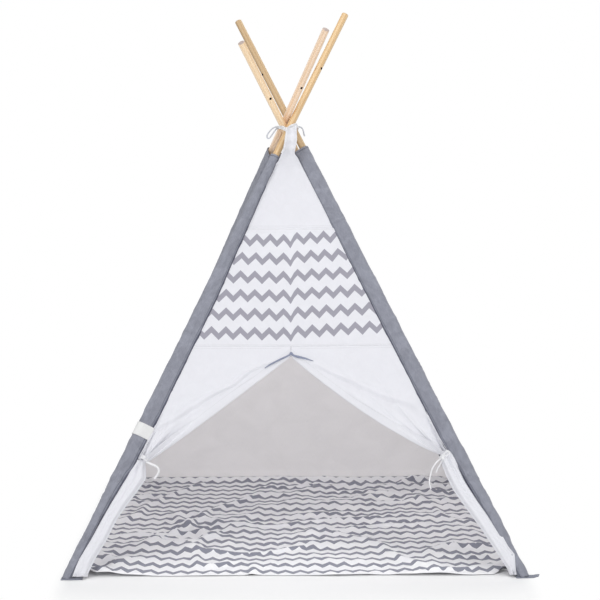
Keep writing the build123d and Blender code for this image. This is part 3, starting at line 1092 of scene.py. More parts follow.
def front_lift(level: Array, height: Array) -> Array:
    """How far the front cloth stands out from its plane, seams included."""
    left, right = FRONT.seams(height)
    across = np.clip((level - left) / np.maximum(right - left, 1e-4), 0, 1)
    free = smooth(0.0, 0.12, across) * smooth(0.0, 0.12, 1 - across)
    soft = FRONT_RELIEF.fractal(level * 7 + 30, height * 5 + 10)
    drag = FRONT_RELIEF.creases(level * 6 + height * 3 + 50, height * 4 - level * 2 + 20, 0.16)
    return free * (0.0035 * soft + 0.0016 * drag) - 0.004 * free * (right - left)


@dataclass
class Band:
    """The printed panel of the front wall, above the door."""

    def build(self, finishes: Finishes) -> Piece:
        """Makes the panel; its rows rise a little away from the centre seam."""
        u, v = grid(150, 150)
        height = BAND_BOTTOM + (BAND_TOP - BAND_BOTTOM) * v
        left, right = FRONT.seams(height, SEAM_TUCK)
        level = left + (right - left) * u
        hem = 0.0007 * smooth(BAND_TOP - 0.012, BAND_TOP - 0.011, height)
        points = FRONT.at(level, height, front_lift(level, height) + hem)
        across = level - DOOR_CENTRE
        to_right = 0.004 * smooth(0.0, 0.012, across) + 0.060 * across
        rise = np.where(across > 0, to_right, -0.015 * across) - 0.003 * hump(across, 0.006)
        closer = 1 + 0.06 * smooth(0.78, 0.88, height)
        print_level = (height - BAND_BOTTOM) * WALL_SLOPE - 0.0078 - rise
        cloth = np.stack([across * closer, print_level], -1)
        edge = np.stack([np.minimum(height - BAND_BOTTOM, BAND_TOP - height), level], -1)
        obj = Patch("front_band_cloth", points, cloth, edge).build(finishes.band, CLOTH_THICKNESS)
        return finish_wall(obj, "front_band", slot="chevron_fabric")


@dataclass
class Gusset:
    """The top of the front wall, which narrows to a strip in front of the crossing."""

    LEFT_STRIP = ((1.091, -0.0407), (1.119, -0.0293), (1.173, -0.0206), (1.194, -0.0190))
    RIGHT_STRIP = ((1.111, 0.0036), (1.148, 0.0107), (1.194, 0.0093))

    def edge(self, pole: Pole, strip: Profile, start: float, height: Array) -> Array:
        """Level coordinates of one edge.

        Args:
            pole: the pole whose seam it follows at first.
            strip: height and level coordinate of the free strip's edge.
            start: the height where the edge leaves the seam.
            height: where to read.

        Returns:
            The level coordinates.
        """
        free = smooth(start, start + 0.022, height)
        return FRONT.seam(pole, height, SEAM_TUCK) * (1 - free) + through(strip, height) * free

    def build(self, finishes: Finishes) -> Piece:
        """Makes the gusset."""
        u, v = grid(60, 150)
        height = BAND_TOP + (1.1733 + 0.0197 * u - BAND_TOP) * v
        left = self.edge(FRONT.first, self.LEFT_STRIP, 1.075, height)
        right = self.edge(FRONT.second, self.RIGHT_STRIP, 1.095, height)
        level = left + (right - left) * u
        free = smooth(1.085, 1.110, height)
        curl = 0.0035 * np.cos(u * FULL_TURN) + 0.0015 * np.sin(height * 220) + 0.002 * np.sin(u * 5)
        lift = front_lift(level, np.minimum(height, WALL_TOP)) * (1 - free) + free * curl
        points = FRONT.at(level, height, lift)
        points[..., 1] -= 0.046 * smooth(WALL_TOP - 0.03, 1.150, height)
        cloth = np.stack([level - DOOR_CENTRE, (height - BAND_TOP) * WALL_SLOPE], -1)
        gap = np.minimum(u, 1 - u) * (right - left) * free + (1 - free) * (height - BAND_TOP)
        edge = np.stack([gap, height], -1)
        obj = Patch("front_gusset_cloth", points, cloth, edge).build(finishes.white, CLOTH_THICKNESS)
        return finish_wall(obj, "front_gusset")


def side_name(side: int) -> str:
    """The word for the side that -1 or 1 stands for."""
    return "left" if side < 0 else "right"


@dataclass
class DoorFlap:
    """One upper door flap: cloth that fans from its tie up to the band.

    side is -1 on the left and 1 on the right. sag curves the opening's edge, and turned
    is how wide its turned-back border is at the tie.
    """

    side: int
    gather: tuple[float, float]
    bundle: float
    sag: float
    turned: float
    seed: int

    ACROSS = 240
    ALONG = 110
    BACK = 16

    def rim(self) -> Array:
        """The sewn edge up the seam, along the band and down to the door's top."""
        pole = FRONT.first if self.side < 0 else FRONT.second
        seam_z = np.linspace(self.gather[1] + 0.012, BAND_BOTTOM, 30)
        seam_x = FRONT.seam(pole, seam_z, SEAM_TUCK)
        top_x = np.linspace(seam_x[-1], DOOR_CENTRE, 46)[1:]
        down_z = np.linspace(BAND_BOTTOM, DOOR_TOP, 6)[1:]
        x = np.concatenate([seam_x, top_x, np.full_like(down_z, DOOR_CENTRE)])
        z = np.concatenate([seam_z, np.full_like(top_x, BAND_BOTTOM), down_z])
        return evenly(np.stack([x, z], -1), self.ACROSS)

    def spread(self, share: Array, r: Array) -> Array:
        """The flap laid in the wall, from the tie at r = 0 to the rim at r = 1."""
        way = np.array([-self.side * 0.75, -0.35])
        start = np.array(self.gather) + (share - 0.5)[:, None] * self.bundle * way
        flat = start[None] * (1 - r[..., None]) + self.rim()[None] * r[..., None]
        hang = self.sag * (share**5)[None] * (4 * r * (1 - r)) ** 0.9
        return flat + hang[..., None] * np.array([self.side * 0.25, -1.0])

    def folds(self, share: Array, r: Array, from_edge: Array) -> Array:
        """The height of the pleats and of the border's rolls.

        Args:
            share: 0 at the seam to 1 at the opening.
            r: 0 at the tie to 1 at the rim.
            from_edge: distance from the opening's edge.

        Returns:
            The lift off the wall.
        """
        relief = Relief(self.seed)
        turns = share * FULL_TURN
        pleat = np.sin(turns * 3.5 + 1.2 * np.sin(turns) + 2.0 * r) * 0.6
        pleat = pleat + 0.4 * np.sin(turns * 7.3 + 1.0 + r)
        big = relief.value(share * 7 + 0.4 * r + 11, r * 1.6 + 3)
        fan = relief.creases(share * 9 + 0.2 * r + 31, r * 0.9 + 8, 0.22)
        tight = smooth(0.0, 0.05, 1 - r) * smooth(0.0, 0.05, share)
        near, fade = hump(r, 0.36, 1.2), hump(r, 0.75, 2.5)
        lift = tight * (0.0052 * pleat * near + 0.0036 * big * fade + 0.0022 * fan * fade)
        wide = self.turned * np.maximum(1 - r, 0.02) + 0.004 * relief.value(r * 9 + 60, np.full_like(r, 2))
        turn = from_edge * 0.56 / np.maximum(wide, 0.002)
        swell = smooth(0.0, 0.018, wide) * smooth(0.0, 0.18, r)
        second = 0.5 + 0.5 * relief.value(r * 6 + 80, np.full_like(r, 7))
        outer_roll = 0.0045 * hump(turn - 1.34, 0.26) - 0.0022 * hump(turn - 1.0, 0.14)
        inner_roll = 0.0026 * hump(turn - 1.85, 0.22) - 0.0012 * hump(turn - 0.60, 0.14)
        return lift + swell * outer_roll + swell * second * inner_roll + 0.002 * near

    def turn_back(self, front: Array) -> Array:
        """The border rolled behind the opening's edge."""
        edge, radius, k = front[:, -1], 0.0022, np.arange(1, self.BACK + 1)[:, None]
        inward = unit(front[:, -10] - edge)
        angle = np.minimum(1.0, k / 6) * math.pi
        reach = np.maximum(0, k - 6) * 0.0026 - radius * np.sin(angle)
        depth = -radius * (1 - np.cos(angle))
        return edge[:, None] + inward[:, None] * reach + np.array(FRONT.outward) * depth

    def build(self, finishes: Finishes) -> Piece:
        """Makes the flap with its folds and the turned-back edge of the door."""
        name = f"{side_name(self.side)}_door_flap"
        share = np.linspace(0, 1, self.ACROSS)
        r = np.linspace(0, 1, self.ALONG)[:, None] ** 1.25
        flat = self.spread(share, r)
        level, height = flat[..., 0], flat[..., 1]
        from_edge = np.linalg.norm(flat - flat[:, -1:], axis=-1)
        lift = front_lift(level, height) + self.folds(share[None], r, from_edge)
        front = FRONT.at(level, height, lift)
        points = np.concatenate([front, self.turn_back(front)], 1)
        tail = np.linspace(0.002, 0.03, self.BACK)[None, :, None] * np.array([0.3 * self.side, 0.9])
        cloth = np.concatenate([flat, flat[:, -1:] + tail], 1) * np.array([1.0, WALL_SLOPE])
        cloth = cloth - np.array([DOOR_CENTRE, 0])
        stitch = np.where(from_edge < 0.03, from_edge - 0.012, BAND_BOTTOM - height)
        edge = np.stack([stitch, level * 0.8 + height * 0.6], -1)
        edge = np.concatenate([edge, np.full((self.ALONG, self.BACK, 2), 1.0)], 1)
        obj = Patch(f"{name}_cloth", points, cloth, edge).build(finishes.white, CLOTH_THICKNESS)
        return finish_wall(obj, name)


@dataclass
class LowerFlap:
    """The loose cloth below a tie, down to the floor.

    outer and inner give the level coordinates of its two edges against height, proud
    how far it stands out, and tucked how much of its outer edge lies behind the sleeve.
    """

    side: int
    outer: Profile
    inner: Profile
    proud: Profile
    tucked: Profile
    top: float
    seed: int

    def build(self, finishes: Finishes) -> Piece:
        """Makes the flap with its hanging folds."""
        name = f"{side_name(self.side)}_lower_flap"
        u, v = grid(90, 150)
        height = self.top - (self.top - HEM_HEIGHT) * v
        outer, inner, proud, tucked = (
            through(profile[::-1], height) for profile in (self.outer, self.inner, self.proud, self.tucked)
        )
        level = outer + (inner - outer) * u
        free = smooth(0.0, 0.08, v)
        pleat = 0.7 * np.sin(u * FULL_TURN * 1.6 + 0.8 + 1.3 * v)
        pleat = pleat + 0.3 * np.sin(u * FULL_TURN * 4 + 2 * v)
        soft = Relief(self.seed).fractal(u * 3 + 12, v * 4 + 7)
        lift = proud + 0.004 * free * (pleat * (hump(v, 0.22, 1.3) + 0.45) + soft)
        behind = tucked * (1 - smooth(0.05, 0.20, u))
        lift = lift * (1 - behind) - 0.004 * behind - 0.010 * smooth(0.8, 1.0, u) * free
        lift = lift + smooth(0.94, 1.0, v) * 0.006 * np.sin(u * 9 + 1)
        points = FRONT.at(level, height, lift)
        points[..., 2] = np.maximum(points[..., 2], 0.0042)
        cloth = np.stack([level, height * WALL_SLOPE], -1)
        gap = np.minimum(np.abs(inner - level), height - HEM_HEIGHT)
        edge = np.stack([gap, height * 0.8 + level * 0.6], -1)
        obj = Patch(f"{name}_cloth", points, cloth, edge).build(finishes.white, CLOTH_THICKNESS)
        return finish_wall(obj, name)


@dataclass
class BarTackAndFoldShade:
    """The grey-blue bar tack over the top of the door, with arms that are painted shade of the hem's
    folds: x, height and width along it.
    """

    PATH = (
        (-0.081, 0.5250, 0.0012), (-0.064, 0.5355, 0.0034), (-0.038, 0.5480, 0.0040),
        (-0.013, 0.5585, 0.0034), (-0.0085, 0.5630, 0.0078), (-0.004, 0.5580, 0.0044),
        (0.012, 0.5535, 0.0062), (0.030, 0.5500, 0.0040), (0.052, 0.5430, 0.0008),
    )

    def build(self, finishes: Finishes) -> Piece:
        """Makes both arms, painted shade of the hem's folds, as one tapering ribbon folded at the door's
        top.
        """
        x, z, wide = in_order(np.array(self.PATH), 120).T
        u = np.linspace(-1, 1, 9)[:, None]
        slope_x, slope_z = np.gradient(x), np.gradient(z)
        reach = u * wide / 2 / (np.hypot(slope_x, slope_z) + TINY)
        level, height = x[None] - reach * slope_z, z[None] + reach * slope_x
        lift = front_lift(level, height) + 0.0036 + 0.0010 * (1 - u**2)
        # painted shade: grey-blue arms where the door's folded hem lies in shade; the wide middle is the
        # bar tack
        patch = Patch("door_binding_tape", FRONT.at(level, height, lift), np.stack([level, height], -1))
        return finish_wall(patch.build(finishes.binding, 0.0009), "door_binding", slot="binding_fabric")


# ---------------------------------------------------------------- other walls and mat


@dataclass
class PlainWall:
    """A whole cloth wall with soft creases; curl draws its foot in."""

    node: str
    body: str
    wall: Wall
    seed: int
    axis: Triple
    curl: float = 0.0

    def build(self, finishes: Finishes) -> Piece:
        """Makes the wall."""
        relief = Relief(self.seed)
        u, v = grid(180, 180)
        height = HEM_HEIGHT + (WALL_TOP - HEM_HEIGHT) * v
        left, right = self.wall.seams(height, SEAM_TUCK)
        level = left + (right - left) * u
        free = smooth(0.0, 0.10, u) * smooth(0.0, 0.10, 1 - u) * smooth(0.0, 0.06, 1 - v)
        soft = relief.fractal(level * 4 + 40, height * 3.5 + 20)
        drag = relief.creases(level * 3.2 + height * 1.5 + 70, height * 3.0 - level + 30, 0.15)
        slack = free * (0.15 + 0.85 * smooth(0.02, 0.16, height))
        lift = slack * (0.011 * soft + 0.007 * drag - 0.013)
        lift = lift - 0.003 * self.curl * hump(height - 0.045, 0.020) * free
        points = self.wall.at(level, height, lift)
        points[..., 2] = np.maximum(points[..., 2], HEM_HEIGHT)
        cloth = np.stack([level, height * 1.12], -1)
        seam_gap = np.abs(level - (left + right) / 2) + 0.002
        edge = np.stack([np.minimum(seam_gap, np.minimum(height - HEM_HEIGHT, 0.9)), height], -1)
        obj = Patch(f"{self.node}_cloth", points, cloth, edge).build(finishes.inner)
        return finish_wall(obj, self.node, self.body)


@dataclass
class FloorMat:
    """The loose printed mat, wavy where it is not pulled flat."""

    half: float = 0.585
    cut: float = 0.060

    def outline(self) -> tuple[Array, Array, Array]:
        """The x, y and distance from the edge over the mat, its corners cut back."""
        u, v = grid(300, 300)
        y = (v * 2 - 1) * self.half
        left = -self.half + (POLES[Corner.BACK_LEFT].foot.x + 0.015 + self.half) * v
        right = self.half + (POLES[Corner.BACK_RIGHT].foot.x - 0.015 - self.half) * v
        x = left + (right - left) * u
        side_gap, end_gap = np.minimum(x - left, right - x), self.half - np.abs(y)
        push = np.maximum(self.cut - side_gap - end_gap, 0) / 2
        gap = np.minimum(side_gap, end_gap) + push
        return x - np.sign(x) * push, y - np.sign(y) * push, gap

    def build(self, finishes: Finishes) -> Piece:
        """Makes the mat as one cloth with its waves, fold marks and rolled edges."""
        relief = Relief(21)
        x, y, edge_gap = self.outline()
        waves = relief.fractal(x * 9 + 30, y * 15 + 60)
        ridges = relief.creases(x * 3.6 + y * 4.5 + 50, y * 10 - x * 2.5 + 12, 0.20)
        ridges = ridges * smooth(0.15, 0.55, relief.value(x * 3.4 + 9, y * 3.4 + 9) * 0.5 + 0.5)
        steps = np.zeros_like(x)
        for lean, seat in ((0.43, 70), (-0.43, 130)):
            across, along = x * 0.9 + y * lean, y * 0.9 - x * lean
            fold = relief.creases(across * 5.4 + seat, along * 2.8 + seat, 0.17)
            patchy = relief.value(x * 2.6 + seat, y * 2.6 + seat) * 0.5 + 0.5
            steps = steps + fold * smooth(0.25, 0.60, patchy)
        front = hump(y + self.half, 0.05)
        rolls = 0.007 * hump(x + 0.50, 0.05) + 0.006 * hump(x - 0.36, 0.07)
        back = 0.011 * hump(self.half - y, 0.030)
        flat = smooth(0.0, 0.03, edge_gap) * 0.6 + 0.4
        loose = 0.0036 * (1 + 1.5 * np.clip(waves, -0.6, 0.9)) + 0.0070 * ridges + 0.0095 * steps
        height = 0.0018 + flat * loose + front * rolls + back
        wander = front * 0.006 * relief.value(x * 9 + 3, np.full_like(y, 4))
        points = np.stack([x, y - wander, height], -1)
        shift = 0.008 * relief.value(x * 3 + 90, y * 3 + 44)
        cloth = np.stack([x + 0.006, y + shift + 0.5903], -1)
        patch = Patch("floor_mat_cloth", points, cloth, np.stack([edge_gap, x + y], -1))
        return finish_piece(patch.build(finishes.mat, 0.0022), "mat", "mat_fabric", "floor_mat")


# ---------------------------------------------------------------- cords, ties and knots


@dataclass
class Cord:
    """One free cord through given points, in millimetres from its origin."""

    node: str
    body: str
    origin: Vector
    steps: Sequence[Triple]
    diameter: float
    far_end: str

    def build(self, finishes: Finishes) -> Piece:
        """Makes the cord as a curve."""
        curve = bpy.data.curves.new(f"{self.node}_cord", "CURVE")
        curve.dimensions = "3D"
        curve.bevel_depth = self.diameter / 2
        curve.bevel_resolution = 4
        curve.use_fill_caps = True
        curve.resolution_u = 12
        spline = curve.splines.new("NURBS")
        spline.points.add(len(self.steps) - 1)
        places = [self.origin + Vector(step) * MM for step in self.steps]
        for point, place in zip(spline.points, places):
            point.co = (*place, 1.0)
        spline.order_u = 3
        spline.use_endpoint_u = True
        obj = add_object(f"{self.node}_cord", curve)
        curve.materials.append(finishes.apex_cord if self.body == "crossing" else finishes.cord)
        finish_piece(obj, self.body, "tie_cord", self.node)
        length = sum((b - a).length for a, b in zip(places, places[1:])) * 0.97
        return obj


def gather_point(corner: Corner, other: Corner) -> Vector:
    """Where a door flap is tied, beside a front pole."""
    pole = POLES[corner]
    level = pole.towards(POLES[other]) * (SLEEVE_WING + WING_EDGE + 0.0144)
    return pole.foot + pole.axis * ((0.296 - level.z) / pole.axis.z) + level


@dataclass
class Knot:
    """A small soft knot: turns of cord pulled into a lump."""

    name: str
    centre: Vector
    size: Triple
    axis: Vector
    cord: float
    seed: int

    TURNS = 3

    def patch(self) -> Patch:
        """The cord along the knot's turns."""
        t = np.linspace(0, 1, 48 * self.TURNS)
        angle = t * self.TURNS * FULL_TURN
        cos, sin = np.cos(angle), np.sin(angle)
        wobble = 1 + 0.16 * Relief(self.seed).value(3 * cos + 10, 3 * sin + t * 4)
        side = self.axis.orthogonal().normalized()
        lift = (t - 0.5) * self.size[2] + 0.1 * self.size[2] * np.sin(angle * 1.5)
        line = np.array(self.centre) + np.outer(cos * self.size[0] * wobble, np.array(side))
        line = line + np.outer(sin * self.size[1] * wobble, np.array(self.axis.cross(side)))
        line = line + np.outer(lift, np.array(self.axis))
        return tube(self.name, line, self.axis, self.cord / 2, 1.25, math.pi * self.cord)

    def build(self, finishes: Finishes, body: str, *nodes: str) -> Piece:
        """Makes the knot on a body, in place of frame nodes."""
        return finish_piece(self.patch().build(finishes.cord), body, "tie_cord", *nodes)


@dataclass
class Tieback:
    """The tape wound round a gathered flap, with its knot in front."""

    side: int
    origin: Vector
    pole: Pole

    def build(self, finishes: Finishes) -> None:
        """Makes the turns and the knot."""
        name, body = f"{side_name(self.side)}_tieback", self.pole.body
        size = (0.0105, 0.0100, 0.008)
        wound = Knot(f"{name}_turns", self.origin, size, self.pole.axis, 0.0040, 5 + self.side)
        wound.build(finishes, body, name)
        front = self.origin + Vector((0.002 * -self.side, -0.0125, -0.001))
        lean = Vector((1, 0.2, 0.35)).normalized()
        knot = Knot(f"{name}_knot", front, (0.0034, 0.0030, 0.006), lean, 0.0036, 9 + self.side)
        knot.build(finishes, body)


@dataclass
class MatTie:
    """The knotted tape between a corner of the mat and a foot strap."""

    pole: Pole

    def build(self, finishes: Finishes) -> None:
        """Makes the knot and the tape over the mat."""
        name, foot = f"mat_tie_{self.pole.name}", self.pole.foot
        inwards = Vector((-math.copysign(1, foot.x), -math.copysign(1, foot.y), 0)).normalized()
        spot = Vector((foot.x, foot.y, 0)) + inwards * 0.0382
        spot.z = 0.0075
        lean = Vector((0.4, 0.3, 1)).normalized()
        knot = Knot(f"{name}_knot", spot, (0.0042, 0.0036, 0.006), lean, 0.0034, 3)
        knot.build(finishes, self.pole.body, name)
        along, wide = grid(20, 5)
        length, width = 0.036, 0.005
        side = Vector((-inwards.y, inwards.x, 0))
        points = np.array(spot) + along[..., None] * length * np.array(inwards)
        points = points + ((wide - 0.5) * width)[..., None] * np.array(side)
        points[..., 2] = 0.0062 + 0.0016 * np.sin(along * 3.0) + 0.0015 * (1 - along)
        tape = Patch(f"{name}_tape", points, np.stack([along * length, wide * width], -1))
        finish_piece(tape.build(finishes.cord, thickness=0.0007), self.pole.body, "tie_cord")


@dataclass
class Lashing:
    """The cord wound round all four poles under the crossing, and its knot."""

    turns: int = 3

    def build(self, finishes: Finishes) -> None:
        """Makes the turns that hug the poles, and the knot in front."""
        low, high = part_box("apex_lashing")
        middle = (low[2] + high[2]) / 2
        cloud = []
        for pole in POLES.values():
            spot = pole.at_height(middle)
            for turn in np.arange(24) / 24 * FULL_TURN:
                cloud.append((spot.x + 0.0150 * math.cos(turn), spot.y + 0.0150 * math.sin(turn)))
        centre = np.mean(cloud, axis=0)
        angle = np.linspace(0, FULL_TURN * self.turns, self.turns * 72)
        ways = np.stack([np.cos(angle), np.sin(angle)], -1)
        reach = ((np.array(cloud) - centre) @ ways.T).max(axis=0)
        x, y = (centre + ways * reach[:, None] * 0.985).T
        dip = 0.006 * smooth(-0.02, 0.012, x) - 0.007 * hump(x + 0.019, 0.010)
        rise = middle + np.linspace(-0.0045, 0.0045, len(x)) + 0.0008 * np.sin(angle * 2.3)
        rise = rise + smooth(0.0, 0.012, centre[1] - y) * dip
        line = np.stack([x, y, rise], -1)
        wound = tube("apex_lashing_turns", line, (0, 0, 1), 0.0021, 1.0, 0.0135)
        finish_piece(wound.build(finishes.cord), "crossing", "tie_cord", "apex_lashing")
        front, lean = Vector((-0.019, -0.139, 1.1752)), Vector((1, 0.3, 0.3)).normalized()
        knot = Knot("apex_lashing_knot", front, (0.0040, 0.0035, 0.006), lean, 0.0038, 4)
        knot.build(finishes, "crossing")


# ---------------------------------------------------------------- stage, light and camera


@dataclass
class Stage:
    """A pale floor, soft studio light and the camera."""

    def floor(self) -> None:
        """Makes the floor: it keeps the shadow and fades to the white backdrop."""
        bpy.ops.mesh.primitive_circle_add(vertices=96, radius=14.0, fill_type="NGON", location=(0, 0, 0))
        obj = bpy.context.object
        obj.name = "studio_floor"
        material, n = new_material("studio_floor")
        x, y, _ = n.parts(n.read("TexCoord", "Object"))
        side = n.math("MAXIMUM", abs(x) - 0.580, 0.0) / 0.055
        front = n.math("MAXIMUM", y * -1.0 - 0.60, 0.0) / 0.36
        back = n.math("MAXIMUM", y - 0.585, 0.0) / 0.04
        away = n.math("SQRT", n.math("POWER", side, 2.0) + n.math("POWER", front + back, 2.0))
        share = n.ramp(0.1, 1.0, away) * n.read("LightPath", "Is Camera Ray")
        skin = n.read("BsdfDiffuse", 0, {"Color": (0.93, 0.93, 0.93, 1.0)})
        white = n.read("Emission", 0, {"Color": (1, 1, 1, 1), "Strength": 1.0})
        n.add("OutputMaterial", {"Surface": n.blend(share, skin, white)})
        obj.data.materials.append(material)

    def world(self) -> None:
        """Makes the even white surroundings."""
        world = bpy.data.worlds.new("studio")
        bpy.context.scene.world = world
        world.use_nodes = True
        world.node_tree.nodes.clear()
        n = Nodes(world.node_tree)
        seen = n.read("LightPath", "Is Camera Ray")
        for ray in ("Is Transmission Ray", "Is Glossy Ray"):
            seen = n.math("MAXIMUM", seen, n.read("LightPath", ray))
        soft = n.read("Background", 0, {"Color": (0.97, 0.98, 1.0, 1.0), "Strength": 0.48})
        white = n.read("Background", 0, {"Color": (1, 1, 1, 1), "Strength": 1.0})
        n.add("OutputWorld", {"Surface": n.blend(seen, soft, white)})

    def light(self, name: str, place: Triple, aim: Triple, size: float, power: float) -> None:
        """Adds one soft light.

        Args:
            name: the light's name.
            place: where it stands.
            aim: the point it faces.
            size: the side of its square.
            power: in watts.
        """
        data = bpy.data.lights.new(name, "AREA")
        data.size = size
        data.energy = power
        obj = add_object(name, data)
        obj.location = place
        obj.rotation_euler = (Vector(aim) - Vector(place)).to_track_quat("-Z", "Y").to_euler()

    def camera(self) -> None:
        """Adds the camera."""
        data = bpy.data.cameras.new("camera")
        data.lens = 92.66
        data.sensor_width = 36.0
        obj = add_object("camera", data)
        obj.location = (-0.0530, -4.5714, 1.1205)
        obj.rotation_euler = (math.radians(90 - 5.563), 0.0, math.radians(-0.935))
        bpy.context.scene.camera = obj

    def build(self) -> None:
        """Sets the stage up."""
        self.floor()
        self.world()
        aim = (0, 0, 0.6)
        for name, place, target, size, power in (
            ("overhead", (0.2, -0.6, 4.2), aim, 3.4, 60),
            ("front_left", (-2.8, -3.6, 2.4), aim, 2.2, 40),
            ("front_right", (3.0, -3.4, 2.0), aim, 2.2, 27),
            ("behind", (0.6, 3.4, 2.6), aim, 2.6, 30),
            ("front_low", (0.2, -4.6, 0.9), (0, 0.1, 0.1), 1.6, 21),
            ("through_cloth", (0.0, -0.10, 0.93), (0.0, -0.09, 0.0), 0.10, 0.75),
        ):
            self.light(name, place, target, size, power)
        self.camera()
        bpy.context.scene.view_settings.view_transform = "Standard"
        LOG.info("stage, lights and camera")


# ---------------------------------------------------------------- the whole tent


@dataclass
class Tent:
    """The whole tent over its frame."""

    finishes: Finishes

    def paint(self, node: str, material: Material) -> None:
        """Gives a frame node a material."""
        obj = frame["nodes"][node]
        obj.data.materials.clear()
        obj.data.materials.append(material)

    def wood(self) -> None:
        """Gives the poles and ferrules their materials."""
        for pole in POLES.values():
            for part in ("lower_pole", "middle_pole", "tip_pole"):
                self.paint(f"{part}_{pole.name}", self.finishes.wood[pole.corner])
            for part in ("lower_ferrule", "upper_ferrule"):
                self.paint(f"{part}_{pole.name}", self.finishes.metal)

    def sleeves(self) -> None:
        """Makes the sleeves and the label."""
        full = SLEEVE_WING
        rise = POLES[Corner.FRONT_LEFT].axis.z
        left_front = [
            (0.0, 0.006), (0.05, 0.007), (0.106, 0.0095), (0.169, 0.0126), (0.222, 0.0148),
            (0.272, 0.0182), (0.316, 0.0222), (0.335, 0.027), (0.40, full),
        ] + [(height / rise, wing) for height, wing in NARROWING]
        right_front = [
            (0.0, 0.010), (0.06, 0.006), (0.11, 0.006), (0.136, 0.0085), (0.174, 0.0125),
            (0.219, 0.0162), (0.275, 0.0192), (0.309, 0.0205), (0.339, 0.022), (0.36, 0.026),
            (0.42, full),
        ]
        stepped = [
            (0.278, 0.0), (0.288, 0.0028), (0.37, 0.0012), (0.46, 0.0), (0.484, 0.0004),
            (0.494, 0.0024), (0.56, 0.0), (1.09, 0.0), (1.13, 0.0022), (1.18, 0.0),
        ]
        loose = [
            (0.0, 0.006), (0.03, 0.004), (0.055, 0.0), (0.09, 0.0006), (0.11, 0.0030),
            (0.14, 0.0004), (0.165, 0.0024), (0.20, 0.0004), (0.215, 0.0020), (0.25, 0.0),
            (0.276, 0.0), (0.284, 0.0030), (0.33, 0.0012), (0.42, 0.0),
        ]
        plain, taut = [(0.0, full)], [(0.0, 0.0)]
        left = Sleeve(POLES[Corner.FRONT_LEFT], left_front, plain, stepped, 11)
        left.build(self.finishes)
        Sleeve(POLES[Corner.FRONT_RIGHT], right_front, plain, loose, 12).build(self.finishes)
        Sleeve(POLES[Corner.BACK_LEFT], plain, plain, taut, 13).build(self.finishes)
        Sleeve(POLES[Corner.BACK_RIGHT], plain, plain, taut, 14).build(self.finishes)
        Label(left).build(self.finishes)

    def straps(self) -> None:
        """Makes the foot straps; the front left one is folded under."""
        folded = [
            (-0.614, -0.6175), (-0.585, -0.6175), (-0.558, -0.614),
            (-0.558, -0.594), (-0.585, -0.5925), (-0.614, -0.5925),
        ]
        tab = [
            (0.580, -0.6175), (0.625, -0.6172), (0.638, -0.616),
            (0.644, -0.596), (0.625, -0.5935), (0.580, -0.5925),
        ]
        Strap(POLES[Corner.FRONT_LEFT], folded, 0.0).build(self.finishes)
        Strap(POLES[Corner.FRONT_RIGHT], tab, 0.003).build(self.finishes)
        for corner, sign, inner, outer in (
            (Corner.BACK_LEFT, -1, 0.545, 0.600),
            (Corner.BACK_RIGHT, 1, 0.559, 0.643),
        ):
            out = [sign * inner, sign * (outer - 0.018), sign * outer]
            ends = list(zip(out, (0.5925, 0.5925, 0.594))) + list(zip(out[::-1], (0.616, 0.6172, 0.6175)))
            Strap(POLES[corner], ends, 0.003).build(self.finishes)

    def front(self) -> None:
        """Makes the front wall and its door."""
        gusset = Gusset().build(self.finishes)
        band = Band().build(self.finishes)
        left = DoorFlap(-1, (-0.410, 0.289), 0.026, 0.004, 0.055, 31).build(self.finishes)
        right = DoorFlap(1, (0.402, 0.306), 0.024, 0.024, 0.080, 32).build(self.finishes)

    def lower_flaps(self) -> None:
        """Makes the cloth below the ties, and the bar tack over the door with its arms of painted fold
        shade.
        """
        left_outer = [
            (0.300, -0.424), (0.286, -0.427), (0.266, -0.445), (0.229, -0.468), (0.187, -0.493),
            (0.142, -0.518), (0.089, -0.548), (0.045, -0.575), (0.021, -0.585), (0.0, -0.590),
        ]
        left_inner = [
            (0.300, -0.402), (0.286, -0.402), (0.246, -0.399), (0.216, -0.419), (0.179, -0.448),
            (0.142, -0.474), (0.093, -0.498), (0.045, -0.528), (0.009, -0.545), (0.0, -0.548),
        ]
        left_proud = [(0.300, 0.001), (0.25, 0.005), (0.15, 0.013), (0.05, 0.016)]
        left_tucked = [(0.300, 0.0), (0.275, 1.0)]
        right_outer = [
            (0.318, 0.414), (0.300, 0.424), (0.282, 0.434), (0.257, 0.448), (0.229, 0.463),
            (0.182, 0.494), (0.145, 0.5205), (0.113, 0.5405), (0.090, 0.552), (0.070, 0.563),
            (0.052, 0.578), (0.0, 0.580),
        ]
        right_inner = [
            (0.318, 0.394), (0.300, 0.392), (0.282, 0.394), (0.250, 0.406), (0.212, 0.424),
            (0.165, 0.458), (0.113, 0.496), (0.064, 0.528), (0.016, 0.561), (0.0, 0.568),
        ]
        right_proud = [
            (0.318, 0.002), (0.300, 0.008), (0.27, 0.011), (0.15, 0.013), (0.06, 0.015),
            (0.0, 0.010),
        ]
        right_tucked = [
            (0.300, 0.0), (0.270, 0.6), (0.240, 1.0), (0.150, 1.0), (0.120, 0.6), (0.090, 0.0),
        ]
        left = LowerFlap(-1, left_outer, left_inner, left_proud, left_tucked, 0.292, 41)
        right = LowerFlap(1, right_outer, right_inner, right_proud, right_tucked, 0.309, 42)
        low_left, low_right = left.build(self.finishes), right.build(self.finishes)
        BarTackAndFoldShade().build(self.finishes)

    def walls(self) -> None:
        """Makes the back and side walls."""
        for wall in (
            PlainWall("back_wall", "back", BACK, 51, (1, 0, 0), curl=1.0),
            PlainWall("left_wall", "left", LEFT, 52, (0, 1, 0)),
            PlainWall("right_wall", "right", RIGHT, 53, (0, 1, 0)),
        ):
            wall.build(self.finishes)

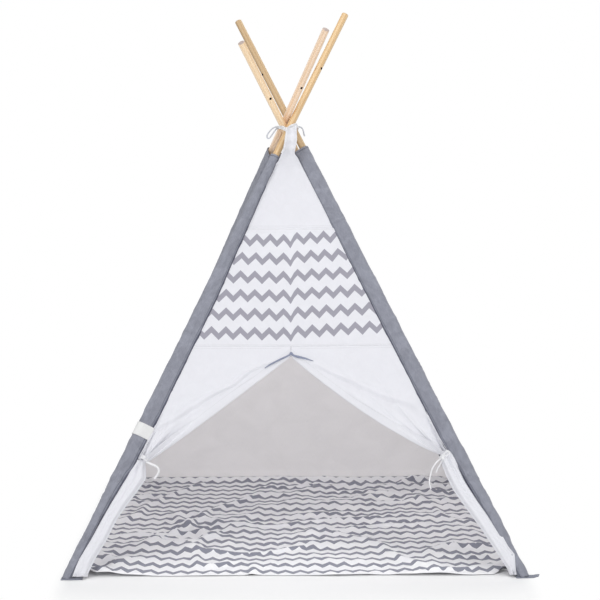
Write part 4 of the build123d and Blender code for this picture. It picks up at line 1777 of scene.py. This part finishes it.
    def ties(self) -> None:
        """Makes the lashing and every tie."""
        self.left_tie = gather_point(Corner.FRONT_LEFT, Corner.FRONT_RIGHT)
        self.right_tie = gather_point(Corner.FRONT_RIGHT, Corner.FRONT_LEFT)
        Lashing().build(self.finishes)
        Tieback(-1, self.left_tie, POLES[Corner.FRONT_LEFT]).build(self.finishes)
        Tieback(1, self.right_tie, POLES[Corner.FRONT_RIGHT]).build(self.finishes)
        for pole in POLES.values():
            MatTie(pole).build(self.finishes)

    def cords(self) -> None:
        """Makes the free cords."""
        bow = [
            (-28.7, -8.5, -17), (-37.7, -13.5, -19), (-48.7, -19, -29), (-57.7, -23, -43),
            (-56.7, -25, -50), (-50.2, -24.5, -51), (-43.7, -23, -42), (-37.7, -19, -33),
            (-31.7, -12.5, -25), (-28.2, -8, -21.5),
        ]
        tail = [(35.2, 4, -17), (42.2, 1, -19), (47.2, -1, -26.5), (48.7, -2.5, -36), (51.2, -3, -44.5)]
        tape = [
            (5, -8.5, -8), (17, -15, -13), (31, -17, -17.5), (40, -17, -28), (35.5, -16.5, -42),
            (26, -15.5, -53),
        ]
        loop = [
            (2, -9.5, 4), (7.5, -14.5, 6), (14, -16, 10), (15, -16, 16.5), (10, -15.5, 20),
            (5, -14.5, 16), (1, -10, 10),
        ]
        long = [
            (-5, -9, -2), (-19, -16, -10), (-32, -18, -30), (-35.5, -18, -49),
            (-40, -17.5, -68), (-33.5, -18, -85),
        ]
        short = [(-2.5, -8.5, -8), (-9, -12.5, -19), (-16.5, -14, -30), (-20, -14.5, -41)]
        apex = Vector((-0.018, -0.100, 1.203))
        left, right = self.left_tie, self.right_tie
        for cord in (
            Cord("apex_bow", "crossing", apex, bow, 0.004, "object"),
            Cord("apex_tail", "crossing", apex, tail, 0.004, "bare"),
            Cord("left_door_tape", "front_left_pole", left, tape, 0.006, "bare"),
            Cord("right_door_bow", "front_right_pole", right, loop, 0.004, "object"),
            Cord("right_door_tail_long", "front_right_pole", right, long, 0.004, "bare"),
            Cord("right_door_tail_short", "front_right_pole", right, short, 0.004, "bare"),
        ):
            cord.build(self.finishes)

    def build(self) -> None:
        """Makes every piece in order."""
        self.wood()
        self.sleeves()
        self.straps()
        self.walls()
        self.front()
        self.lower_flaps()
        mat = FloorMat().build(self.finishes)
        self.ties()
        self.cords()


def main() -> None:
    """Builds the stage and the tent."""
    Stage().build()
    Tent(Finishes()).build()


if __name__ == "__main__":
    main()
